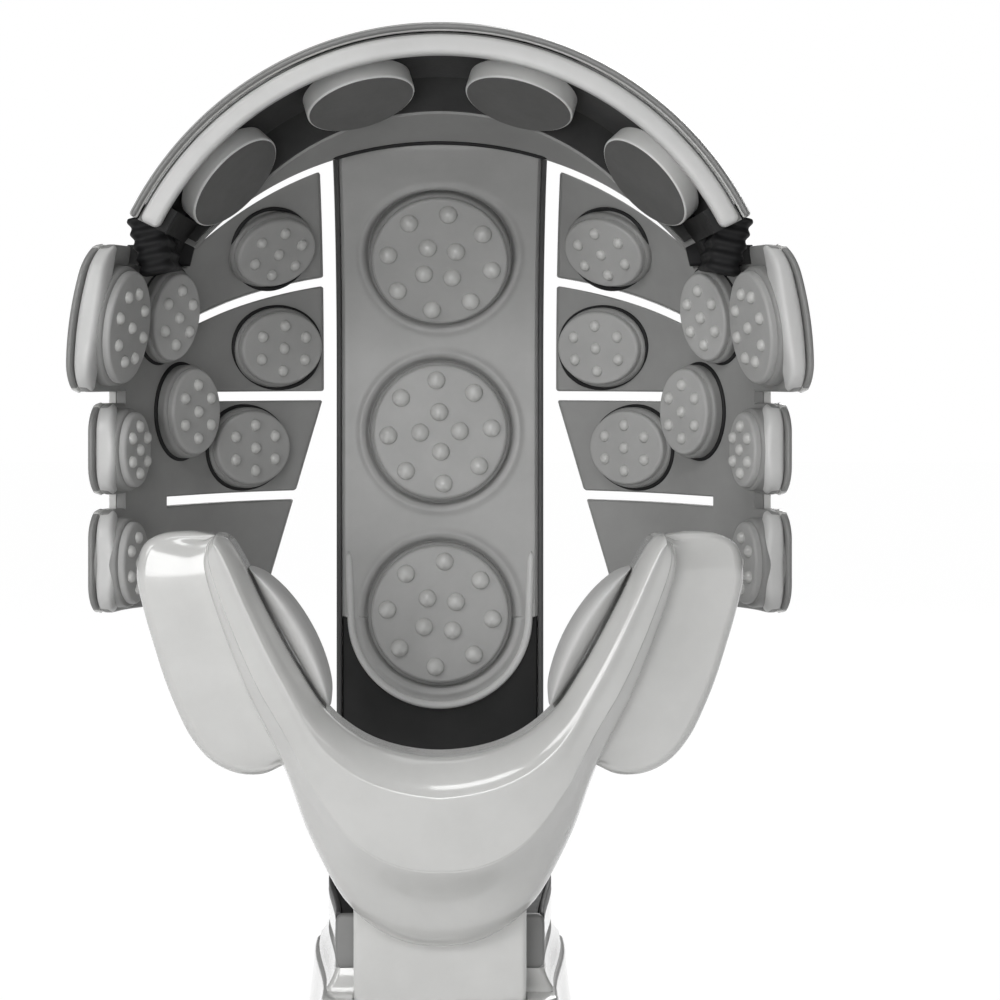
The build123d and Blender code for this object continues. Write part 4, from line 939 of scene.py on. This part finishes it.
tongue_runs = TONGUE_RUN + TONGUE_R * np.sin(np.linspace(0, np.pi / 2, 60))[1:]
run = np.concatenate([np.linspace(0, TONGUE_RUN, 300), tongue_runs])[:, None]
spread = np.linspace(-1, 1, 121)[None, :]
across = strap_half(run) * spread
rolled = ROLL * np.maximum(np.abs(spread) - ROLL_START, 0) / (1 - ROLL_START)
face = spine(run, across, rolled - strap_rise(run, across))
strap = np.concatenate([face, spine(run, across[:, ::-1], LINER + 0 * spread)], axis=1)
piece("strap_face", [squeezed_ends(strap)], "stand", satin_strap, "strap")

# %% The tongue's bead
bead_r, bead_half, bead_high, leg, leg_spread = TONGUE_R - 0.4, 1.25, 1.1, 22.0, 0.8
angle = np.pi * np.linspace(0, 1, 90)[:, None]
legs = np.linspace(leg, 0.0, 12)[:-1, None]
leg_across = bead_r + leg_spread * legs / leg
path_run = np.concatenate([TONGUE_RUN - legs, TONGUE_RUN + bead_r * np.sin(angle), (TONGUE_RUN - legs)[::-1]])
path_across = np.concatenate([-leg_across, -bead_r * np.cos(angle), leg_across[::-1]])
ahead = np.gradient(np.hstack([path_across, path_run]), axis=0)
ahead /= np.linalg.norm(ahead, axis=1, keepdims=True)
ring, size = circle(16), blunt(len(path_run), 40)
out, lift = bead_half * size * np.cos(ring), bead_high * size * np.sin(ring)
bead = spine(path_run - out * ahead[:, :1], path_across + out * ahead[:, 1:], 0.1 - lift)
piece("tongue_bead", [bead], "stand", satin_light)

# %% Panel under the strap, and painted shade along its edges
arc_runs = np.linspace(0, SPINE_ARC, 40)
drop_runs = np.linspace(SPINE_ARC, SPINE_STRAIGHT, 12)
bend_runs = np.linspace(SPINE_STRAIGHT, SPINE_BEND, 36)[1:]
tail_runs = np.linspace(SPINE_BEND, SPINE_END - 2.6, 12)[1:]
runs = np.concatenate([np.linspace(TONGUE_RUN - 3, SPINE_STRAIGHT, 12), bend_runs, tail_runs])[:, None]
# the charcoal panel is made near-black, partly as painted shade: the deep shade under the strap
nape = spine(runs, *rounded_box(8, -STRAP_HALF, STRAP_HALF, 1.8, 3.0, 0.6))
piece("nape_lining", [shut_ends(nape)], "stand", charcoal_and_painted_shade, "nape_panel")
# dark grey strips along the strap's edges: painted shade where the edges turn away
runs = np.concatenate([arc_runs + 0.3, drop_runs[1:], bend_runs, tail_runs])[:, None]
across, step = rounded_box(4, STRAP_HALF + 0.1, SPINE_HALF - 0.05, -0.1, 3.0, 0.7)
strap_edge_shades = [shut_ends(spine(runs, side * across, step)) for side in (-1, 1)]
piece("spine_edge_shade", strap_edge_shades, "stand", grey_rubber_and_painted_shade)

# %% Bead along the crown's back edge, above the strap
angle, size = np.radians(np.linspace(-27.0, 27.0, 61))[:, None], blunt(61, 40)
polar = back_edge(CAP_R, angle, GAP / 2 + 0.75) + 0.7 * size * np.cos(ring) / CAP_R
radius = CAP_R - 0.1 - 0.6 * size * np.sin(ring)
bead = turned(radius * np.sin(polar), radius * np.cos(polar), angle)
piece("crown_back_bead", [bead], "stand", black_rubber_and_painted_shade)

# %% [markdown]
# The shell's section is one loop, outside and inside, with the corners as
# arcs. Where the keys sit it is let in to a shallow well, so that a pressed key
# has room behind it: the points of the loop that lie within the well's width,
# on the rows within its length, are set deeper.

# %% Shell round the spine, above and below its seam
WELL_HALF, WELL_RUNS, WELL_DEEP = 12.6, SPINE_ARC + np.array([31.0, 71.0]), 3.05
knees = np.array([24.0, 18.0, WELL_HALF + 0.1, WELL_HALF - 0.1, 6.0])
flat = np.concatenate([knees, [0.0], -knees[::-1]])
turn = np.radians(np.linspace(0, 90, 8))


def shell_side(edge, half, deep, corner):
    """One side of the shell's section: its edge's points, an arc round the corner, the flat back, and the
    same mirrored."""
    arc = np.stack([half - corner + corner * np.cos(turn), deep - corner + corner * np.sin(turn)], axis=1)
    first = np.concatenate([edge, arc])
    return np.concatenate([first, np.stack([flat, deep + 0 * flat], axis=1), (first * [-1, 1])[::-1]])


lip, corner, wide, high = 3.2, 5.0, SPINE_HALF - SPINE_WALL, SPINE_DEPTH - SPINE_WALL
edge = [(wide, lip), (SPINE_HALF - 0.5, lip), (SPINE_HALF, lip + 0.5)]
outside = shell_side(edge, SPINE_HALF, SPINE_DEPTH, corner)
inside = shell_side([(wide, lip), (wide, lip + 0.4), (wide, lip + 0.8)], wide, high, corner - SPINE_WALL)
across, step = np.concatenate([outside, inside[::-1]]).T
well_rows = [WELL_RUNS[0] - 0.1, *WELL_RUNS, WELL_RUNS[1] + 0.1]
run = np.unique(np.concatenate([arc_runs, drop_runs[1:-1], [SPINE_STRAIGHT - 0.2], well_rows]))[:, None]
let_in = np.where(step > high + 0.1, WELL_DEEP, WELL_DEEP - 2.0) * (np.abs(across) < WELL_HALF)
let_in = let_in * (run > WELL_RUNS[0] - 0.05) * (run < WELL_RUNS[1] + 0.05)
piece("spine_shell", [squeezed_ends(spine(run, across, step - let_in))], "stand", polished, "spine_skin")
run = np.concatenate([[SPINE_STRAIGHT + 0.2], bend_runs, tail_runs])[:, None]
piece("tail_shell", [squeezed_ends(spine(run, across, step))], "stand", polished, "tail_skin")

# %% Cover on the tail's front end
back, less = np.array([(2.3, 0.0), (1.2, 0.0), (0.5, 0.15), (0.15, 0.5), (0.0, 1.1)]).T[:, :, None]
cover = rounded_box(8, less - SPINE_HALF, SPINE_HALF - less, less, SPINE_DEPTH - less, 2.5)
piece("tail_front_cover", [shut_ends(spine(SPINE_END - back, *cover))], "stand", mid_grey_and_painted_shade)

# %% [markdown]
# ## Boots over the hinges
# A short bellows of black rubber hides each hinge between the band's end and
# the side panel; its black is painted shade, the deep shadow under the band's
# end. It is not set on a body, so it stays in place when the panel moves. Rings
# of a rounded rectangle run from the band's end down to the panel, and their
# size waves by its folds. Behind it a flat seal on the band's end closes the
# view between band and panel, black as painted shade too.

# %% Hinge boots, black as painted shade
HINGE_Y, FOLDS, FOLD_DEEP, BEND_ENDS = 14.0, 4.5, 0.4, ((-87.0, 14.0, 43.0), (-86.0, 14.0, 33.0))
# across, height and half thickness of a boot at its top and at its foot
BOOT_TOP, BOOT_FOOT, BOOT_LONG, BOOT_LEAN = (-88.6, 46.4, 5.3), (-84.9, 29.5, 4.8), 15.6, 0.22
way = np.linspace(0, 1, 40)[:, None]
across, height, thick = (top + (foot - top) * way for top, foot in zip(BOOT_TOP, BOOT_FOOT))
fold = FOLD_DEEP * np.sin(2 * np.pi * FOLDS * way)
thick, long = thick + fold, BOOT_LONG + fold
sideways, deep = rounded_box(6, -thick, thick, HINGE_Y - long, HINGE_Y + long, 3.0)
boot = shut_ends(np.stack([across + sideways, deep, height + BOOT_LEAN * sideways], axis=-1))
# black as painted shade: the deep shadow under the band's end
for side, made in pairs(("*_hinge_boot", [boot], None, black_rubber_and_painted_shade), sharp=60.0):
    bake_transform(made)

# %% Seals on the band's ends, black as painted shade
upper = evenly(np.array([(-91.6, 46.6), (-84.5, 43.4), (-76.0, 39.4)]), 24)
lower = evenly(np.array([(-90.4, 36.0), (-84.5, 33.2), (-77.6, 32.6)]), 24)
seal = ribbed(upper, lower, [(0.0, 27.6), (0.0, 29.4), (0.5, 29.6), (1.0, 29.4), (1.0, 27.6), (0.5, 27.4)], 4)
# black as painted shade where the band's end meets the panel
pairs(("*_end_seal", [shut_ends(seal)], "stand", black_rubber_and_painted_shade), sharp=60.0)

# %% [markdown]
# ## The yoke
# The yoke is the part nearest to the viewer: a glossy U. Its front is not
# flat: from the inner edge a bevel climbs to a fine ridge, which catches the
# light as a white line; then a broad face falls away gently to a crease, and
# under the crease the chin turns back towards the stem. It is worked out as
# ribs from the inner to the outer edge, each a smooth line in depth.

# %% Edges of the yoke
INSIDE = [(0, -107.4), (17.0, -104.4), (30.0, -96.0), (39.5, -82.5), (48.5, -66.0), (54.8, -53.0)]
INSIDE += [(58.6, -47.0)]
OUTSIDE = [(0, -162.5), (14.0, -159.5), (26.5, -149.5), (36.5, -131.0), (44.0, -110.0), (55.0, -87.0)]
OUTSIDE += [(64.6, -60.0), (65.4, -50.0)]
ARM_TIP, RIBS = (61.9, -45.4), 181


def both_arms(points):
    """The mirrored left arm, then the right arm, as one line sampled at even lengths."""
    return evenly(smooth_through([(-x, z) for x, z in points[:0:-1]] + points), RIBS)


inside = both_arms(INSIDE + [ARM_TIP])
outside = both_arms(OUTSIDE + [ARM_TIP])
arm = np.abs(np.linspace(-1, 1, RIBS))[:, None]
width = np.linalg.norm(outside - inside, axis=1, keepdims=True)
print("the yoke is", round(float(width.min()), 1), "to", round(float(width.max()), 1), "mm wide")

# %% Ribs of the yoke
YOKE_BACK, YOKE_FRONT = -46.5, -68.0
bevel = np.minimum(np.interp(arm, [0, 0.45, 0.75, 1.0], [8.6, 7.0, 4.2, 2.4]) / np.maximum(width, 2.0), 0.42)
crease = np.interp(arm, [0, 0.35, 0.62, 1.0], [0.56, 0.60, 0.72, 0.78])
chin = np.interp(arm, [0, 0.3, 0.55, 1.0], [1.0, 0.85, 0.3, 0.12])
below = 1 - crease
columns = [(0.0, YOKE_BACK + 1.0), (0.0, YOKE_BACK - 8.0)]
columns += [(share, YOKE_FRONT + behind) for share, behind in (
    (0.0, 9.0),
    (bevel * 0.06, 6.8),
    (bevel * 0.24, 4.8),
    (bevel * 0.50, 2.8),
    (bevel * 0.80, 1.15),
    (bevel * 1.08, 0.25),
    (bevel * 1.34, 0.0),
    (bevel + (crease - bevel) * 0.50, 0.9 + 0.5 * arm),
    (crease - 0.03, 1.7 + 0.8 * arm),
    (crease - 0.004, 2.0 + 0.8 * arm),
    (crease + 0.022, 2.9 + 0.6 * arm),
    (crease + below * 0.40, 3.0 + 6.6 * chin),
    (crease + below * 0.78, 4.2 + 10.4 * chin),
    (0.975, 6.2 + 11.6 * chin),
    (1.0, 9.0 + 11.0 * chin),
)]
columns += [(1.0, YOKE_BACK - 1.0), (0.985, YOKE_BACK)]
yoke = ribbed(inside, outside, columns)


def thinned(body, middle, size, least):
    """The body's depth drawn towards a middle depth, down to the least share where the size is nothing."""
    body[..., 1] = middle + (body[..., 1] - middle) * (least + (1 - least) * size)
    return shut_ends(body)


TIP = 0.045
tip = np.sqrt(1 - (np.clip(arm - (1 - TIP), 0, TIP) / TIP) ** 2)
yoke = thinned(yoke, -58.0, tip, 0.35)
piece("neck_yoke_shell", [yoke], "neck_yoke", polished, "yoke_front", "yoke_back", sharp=60.0)

# %% [markdown]
# ## Wings and neck cushions
# A rounded wing stands outside each arm and runs in under its edge, and a
# crescent cushion of skinned foam lines its inner side, where the neck rests.
# Both are ribs between two curves: the wing is full and only rounded along
# its outer edge, and the cushion swells towards the neck and falls away into
# a shadow beside the arm.

# %% Wings
UNDER_ARM = [(62.0, -46.8), (62.4, -52.0), (61.2, -58.0), (58.0, -68.0), (53.4, -79.5), (48.6, -90.0)]
UNDER_ARM += [(43.6, -100.0), (40.6, -107.6)]
WING_EDGE = [(64.0, -45.9), (70.0, -45.2), (78.0, -45.9), (83.6, -49.6), (85.3, -58.0), (83.2, -68.0)]
WING_EDGE += [(80.6, -77.0), (77.6, -86.5), (74.2, -95.0), (70.2, -103.0), (64.6, -109.6), (57.6, -113.2)]
WING_EDGE += [(50.0, -113.6), (44.0, -111.0)]
WING_FRONT, WING_BACK = -56.2, YOKE_BACK + 0.3
under, edge = (evenly(smooth_through(line), 120) for line in (UNDER_ARM, WING_EDGE))
corner = np.minimum(4.0 / np.linalg.norm(edge - under, axis=1, keepdims=True), 0.5)
columns = [(0.0, WING_BACK - 0.4), (0.0, WING_FRONT + 0.6), (0.05, WING_FRONT), (0.3, WING_FRONT + 0.5)]
columns += [(0.6 - corner * 0.3, WING_FRONT + 1.5)]
for t in np.radians([0, 30, 60, 90]):
    columns.append((1 - corner * (1 - np.sin(t)), WING_FRONT + 2.7 + 3.4 * (1 - np.cos(t))))
columns += [(1.0, WING_BACK - 1.8), (1 - corner * 0.12, WING_BACK - 0.5), (1 - corner * 0.4, WING_BACK)]
wing = shut_ends(ribbed(under, edge, columns, 5))
pairs(("*_wing_shell", [wing], "neck_yoke", polished, "*_wing"), drawn="right", sharp=70.0)

# %% Neck cushions
ARM_SIDE = [(53.4, -55.2), (48.4, -65.2), (43.8, -73.8), (39.1, -82.0), (34.8, -89.2), (31.2, -94.0)]
NECK_SIDE = [(53.4, -55.2), (49.4, -56.9), (45.0, -60.4), (41.0, -64.8), (37.4, -70.0), (34.4, -75.6)]
NECK_SIDE += [(32.0, -81.8), (30.5, -88.2), (30.6, -93.6)]
arm_side, neck_side = (evenly(smooth_through(line), 90) for line in (ARM_SIDE, NECK_SIDE))
columns = [(0.06, -40.5), (0.0, -42.0), (0.0, -53.0), (0.04, -55.4), (0.16, -58.4), (0.38, -61.2)]
columns += [(0.62, -62.4), (0.82, -61.4), (0.94, -59.0), (1.0, -55.5), (1.0, -45.0), (0.96, -42.0)]
columns += [(0.80, -39.8), (0.40, -39.4)]
cushion = thinned(ribbed(arm_side, neck_side, columns), -51.0, blunt(90, 6), 0.3)
cushions = ("*_neck_cushion", [cushion], "neck_yoke", foam_skin, "*_neck_pad")
for _, made in pairs(cushions, drawn="right", sharp=80.0):
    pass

# %% [markdown]
# ## Stem, tail foot and base
# The yoke's stem slides in the collar of the base. Its section is a rectangle
# with rounded corners, as is the collar's. The base is a low dome, turned
# round, that runs into the collar in a fillet, so both are one shell: rings
# that change from the collar's rounded rectangle into the dome's circle.

# %% Rings of a rounded rectangle
def rectangle_ring(half_x, half_y, corner, centre_y, height):
    """Points round a rounded rectangle, with as many on each corner and side, so that rings match."""
    parts = []
    for number, (sx, sy) in enumerate(((1, 1), (-1, 1), (-1, -1), (1, -1))):
        angle = np.linspace(0, np.pi / 2, 16) + number * np.pi / 2
        x = sx * (half_x - corner) + corner * np.cos(angle)
        y = sy * (half_y - corner) + corner * np.sin(angle)
        parts.append(np.stack([x, centre_y + y, height + 0 * angle], axis=1))
    sides = [np.linspace(parts[k][-1], parts[(k + 1) % 4][0], 9)[1:-1] for k in range(4)]
    return np.concatenate([part for both in zip(parts, sides) for part in both])


def column(levels, centre_y):
    """Rings at heights: each level is half width, half depth, corner radius, height."""
    return shut_ends(np.stack([rectangle_ring(*level[:3], centre_y, level[3]) for level in levels]))


FLOOR_Z, COLLAR_TOP = -235.0, -178.0
STEM_HALF_X, STEM_HALF_Y, STEM_CORNER = 24.5, 4.25, 1.6
STEM_Y = YOKE_BACK + STEM_HALF_Y
stem_end, stem_side = (STEM_HALF_X - 0.5, STEM_HALF_Y - 0.45, 1.2), (STEM_HALF_X, STEM_HALF_Y, STEM_CORNER)
STEM_FOOT, STEM_TOP = -197.0, -114.0
levels = [(*stem_end, STEM_FOOT), (*stem_side, STEM_FOOT + 0.5)]
levels += [(*stem_side, STEM_TOP - 0.5), (*stem_end, STEM_TOP)]
stem = column(levels, STEM_Y)
piece("yoke_stem", [stem], "neck_yoke", polished, "stem")

# %% Foot of the tail
TAIL_BACK, TAIL_FLARE = 42.0, 3.0
half_deep = (TAIL_BACK - TAIL_FRONT) / 2
flare = [(TAIL_FLARE, 0.0), (TAIL_FLARE, 1.0), (2.0, 2.2), (1.0, 3.9), (0.4, 5.4), (0.1, 6.5)]
levels = [(SPINE_HALF - 0.1 + out, half_deep - 0.1 + out / 2, 2.0, COLLAR_TOP + up) for out, up in flare]
foot = column(levels, TAIL_FRONT + half_deep + 0.75)
foot[..., 0] *= tapered(foot[..., 1], foot[..., 2])
piece("tail_foot", [foot], "stand", polished, "tail_flange")

# %% Dome and collar
BASE_R, BASE_Y, SHOULDER, TOP, DOME_RUN = 84.0, 8.0, FLOOR_Z + 10.0, FLOOR_Z + 24.0, 30.0
COLLAR_HIGH, COLLAR_NARROWS, COLLAR_MARGIN, COLLAR_CORNER, SLOT_GAP, LID = 24.0, 2.0, 3.4, 10.0, 0.3, 2.6
FILLET_HIGH, FILLET_WIDE = 6.0, 1.8
front, back = STEM_Y - STEM_HALF_Y - SLOT_GAP - LID, TAIL_BACK + COLLAR_MARGIN + TAIL_FLARE
centre, half_deep, half_wide = (front + back) / 2, (back - front) / 2, SPINE_HALF + TAIL_FLARE + COLLAR_MARGIN


def collar_ring(grow, height):
    """A ring of the collar: it narrows a little towards its top, and to its front by the tail's taper."""
    way = eased(1 - (COLLAR_TOP - height) / COLLAR_HIGH)
    ring_half = half_wide + grow - COLLAR_NARROWS * way
    ring = rectangle_ring(ring_half, half_deep + grow, COLLAR_CORNER + grow, centre, height)
    ring[:, 0] *= 1 - way * (1 - tapered(ring[:, 1], COLLAR_TOP))
    return ring


def dome_height(radius):
    """Height of the dome: flat in the middle, and a quarter of an ellipse down to its edge."""
    share = np.clip((radius - (BASE_R - DOME_RUN)) / DOME_RUN, 0, 1)
    return SHOULDER + (TOP - SHOULDER) * np.sqrt(1 - share**2)


turns = np.radians(range(0, 91, 18))
rings = [collar_ring(1.4 * (np.sin(t) - 1), COLLAR_TOP - 1.4 * (1 - np.cos(t))) for t in turns]
rings += [collar_ring(0.0, COLLAR_TOP - drop) for drop in (3.0, 6.0, 9.0, 12.0, 15.0, 18.0, 21.0, 24.0, 28.0)]
straight = rectangle_ring(half_wide, half_deep, COLLAR_CORNER, centre, 0.0)
around = np.arctan2(straight[:, 1] - BASE_Y, straight[:, 0])
foot_ring = rings[-1][:, :2]
edge_way = np.stack([np.cos(around), np.sin(around)], axis=1)
# the rings lie closer together near the collar, where the fillet bends
for t in np.linspace(0, 1, 26):
    flat = foot_ring + ([0, BASE_Y] + BASE_R * edge_way - foot_ring) * t**1.2
    fillet = FILLET_HIGH * np.exp(-np.linalg.norm(flat - foot_ring, axis=1) / FILLET_WIDE)
    rings.append(np.column_stack([flat, dome_height(np.hypot(flat[:, 0], flat[:, 1] - BASE_Y)) + fillet]))
skirt = [(0.0, SHOULDER - 3)]
skirt += [(less, FLOOR_Z + up) for less, up in ((0.0, 3.2), (0.5, 2.3), (1.4, 2.0), (2.6, 2.0), (2.6, 4.5))]
for less, height in skirt:
    rings.append(np.column_stack([[0, BASE_Y] + (BASE_R - less) * edge_way, 0 * around + height]))
shell = np.stack(rings)
print("base shell:", len(rings), "rings")

# %% The collar's top, with the stem's slot
slot_ring = rectangle_ring(STEM_HALF_X + SLOT_GAP, STEM_HALF_Y + SLOT_GAP, 1.2, STEM_Y, COLLAR_TOP)
lid = np.stack([slot_ring - [0, 0, LID], slot_ring - [0, 0, 0.5], slot_ring, shell[0]])
piece("base_dome", [shell, lid], "stand", polished, "base_shell", sharp=50.0)

# %% [markdown]
# ## Small things
# Rubber plugs cover the screws in the spine's back and in the side panels.
# The three keys carry marks that a finger can tell apart, a ring, a bar and
# three short bars, let into their faces. A small lens beside them shows that
# the massager is on.

# %% Screw plugs
BACK_Y = CAP_R + SPINE_DEPTH
plug = [(0, 0, -1.0), (1, 0, -1.0), (1, 0, -0.05), (1, 0.35, 0.12), (0.5, 0, 0.05), (0, 0, 0.0)]
corners = [(x, BACK_Y, height) for x in (-24, 24) for height in (-8.0, -100.0)]
plugs = [oval(seat_facing(place, (0, 1, 0)), 3.4, 3.4, plug, 32) for place in corners]
piece("spine_screw_plugs", plugs, "stand", grey_rubber_and_painted_shade)
half, deep, turn = wall(run_at(14.0), WALL)
plugs = []
for height in (25.0, 12.0):
    across = -np.sqrt(half**2 - height**2)
    outward = (np.sin(turn) * across / half, np.cos(turn), np.sin(turn) * height / half)
    plugs.append(oval(seat_facing((across, deep, height), outward), 2.8, 2.8, plug, 32))
pairs(("*_screw_plugs", plugs, "*_side", grey_rubber_and_painted_shade))

# %% Marks on the keys
KEYS = {"power_mark": "power_key", "mode_mark": "mode_key", "heat_marks": "heat_key"}
# x and z, half width and height, and the share of them that is hollow
MARKS = {
    "power_mark": [(0, -39.5, 3.0, 3.0, 0.8)],
    "mode_mark": [(0, -54.5, 2.6, 0.55, 0.0)],
    "heat_marks": [(x, -64.5, 0.5, 1.6, 0.0) for x in (-2.2, 0, 2.2)],
}


def on_back(x, z, lift, half_x, half_z, profile, around):
    """An oval that faces backwards, this far off the spine's back."""
    return oval(seat_facing((x, BACK_Y + lift, z), (0, 1, 0)), half_x, half_z, profile, around)


for name, marks in MARKS.items():
    rim = [(1, 0, -0.3), (1, 0, 0.04)]
    grids = [
        on_back(x, z, 1.4, half_x, half_z, rim + [(hollow, 0, 0.04), (hollow, 0, -0.3)] + rim[:1], 48)
        for x, z, half_x, half_z, hollow in marks
    ]
    piece(name, grids, KEYS[name], grey_rubber_and_painted_shade)
lens = [(0, 0, -0.6), (1, 0, -0.6), (1, 0, 0.0), (0.9, 0, 0.25), (0.6, 0, 0.45), (0, 0, 0.55)]
piece("power_lens", [on_back(9.6, -32.0, 0.5, 1.1, 1.1, lens, 32)], "stand", lens_white)

# %% [markdown]
# ## Floor and light
# The light is a plain studio: one large soft lamp high on the left in front,
# which makes the left side brighter than the right, a weaker one on the right,
# one above the camera and one level with it, and one each from above and from
# behind. The front ones are mirrored in the yoke's ridge, as a thin bright
# line. The world is white to the camera, but lights the object only a
# little, and less from both sides, as black cards beside a white object do:
# they keep its outline from melting into the white behind it.

# %% Floor
REACH, WHITE = 6.0, (1.0, 1.0, 1.0, 1.0)
mesh = bpy.data.meshes.new("studio_floor")
corners = [(-REACH, -REACH, 0), (REACH, -REACH, 0), (REACH, REACH, 0), (-REACH, REACH, 0)]
mesh.from_pydata(corners, [], [(0, 1, 2, 3)])
floor = bpy.data.objects.new("studio_floor", mesh)
bpy.context.scene.collection.objects.link(floor)


def seen_by(tree, *rays):
    """1 for the camera's rays and for one more kind, 0 for the others."""
    path = add(tree, "LightPath")
    links = {number: path.outputs[f"Is {ray} Ray"] for number, ray in enumerate(rays)}
    return add(tree, "Math", {"operation": "MAXIMUM"}, links=links).outputs[0]


def mixed(tree, share, one, other, output):
    """Two shaders, mixed by a share and led to the output."""
    both = add(tree, "MixShader", links={0: share, 1: one.outputs[0], 2: other.outputs[0]})
    add(tree, output, links={"Surface": both.outputs[0]})


paper = bpy.data.materials.new("white paper backdrop")
mesh.materials.append(paper)
tree = cleared(paper)
matt = add(tree, "BsdfDiffuse", values={"Color": linear("#E6E6E6")})
glow = add(tree, "Emission", values={"Color": WHITE, "Strength": 1.04})
links = {0: seen_by(tree, "Camera", "Glossy")}
share = add(tree, "Math", {"operation": "MULTIPLY"}, {1: 0.95}, links)
mixed(tree, share.outputs[0], matt, glow, "OutputMaterial")
print("floor", 2 * REACH, "m wide")

# %% World
world = bpy.data.worlds.new("studio")
bpy.context.scene.world = world
tree = cleared(world)
toward = add(tree, "SeparateXYZ", links={0: add(tree, "TexCoord").outputs["Generated"]})
sideways = add(tree, "Math", {"operation": "ABSOLUTE"}, links={0: toward.outputs["X"]})
cards = {"From Min": 0.45, "From Max": 0.95, "To Min": 0.20, "To Max": 0.05}
links = {"Value": sideways.outputs[0]}
flags = add(tree, "MapRange", {"interpolation_type": "SMOOTHSTEP"}, cards, links)
dim = add(tree, "Background", values={"Color": WHITE}, links={"Strength": flags.outputs[0]})
white = add(tree, "Background", values={"Color": WHITE, "Strength": 1.0})
mixed(tree, seen_by(tree, "Camera", "Transmission"), dim, white, "OutputWorld")
print("world:", len(tree.nodes), "nodes")

# %% Lamps
# place, height of the point on the middle axis that it is turned to, width and height in metres, watts
LAMPS = {
    "key_lamp": ((-1.2, -1.05, 0.80), 0.22, 0.6, 0.7, 6.0),
    "right_lamp": ((1.1, -1.2, 0.75), 0.20, 0.2, 0.7, 0.8),
    "upper_lamp": ((-0.25, -1.3, 1.15), 0.20, 0.7, 0.35, 4.4),
    "level_lamp": ((-0.35, -1.6, 0.24), 0.28, 0.9, 0.35, 6.6),
    "top_lamp": ((0.1, 0.3, 1.5), 0.25, 0.8, 0.8, 2.0),
    "rear_lamp": ((0.5, 1.5, 0.9), 0.20, 0.8, 0.8, 6.0),
}
for name, (place, aim, width, height, watts) in LAMPS.items():
    light = bpy.data.lights.new(name, "AREA")
    light.shape, light.size, light.size_y, light.energy = "RECTANGLE", width, height, watts
    lamp = bpy.data.objects.new(name, light)
    lamp.location = place
    lean = np.arctan2(np.hypot(place[0], place[1]), place[2] - aim)
    lamp.rotation_euler = (lean, 0.0, np.arctan2(place[1], place[0]) + np.pi / 2)
    bpy.context.scene.collection.objects.link(lamp)
print(len(LAMPS), "lamps")
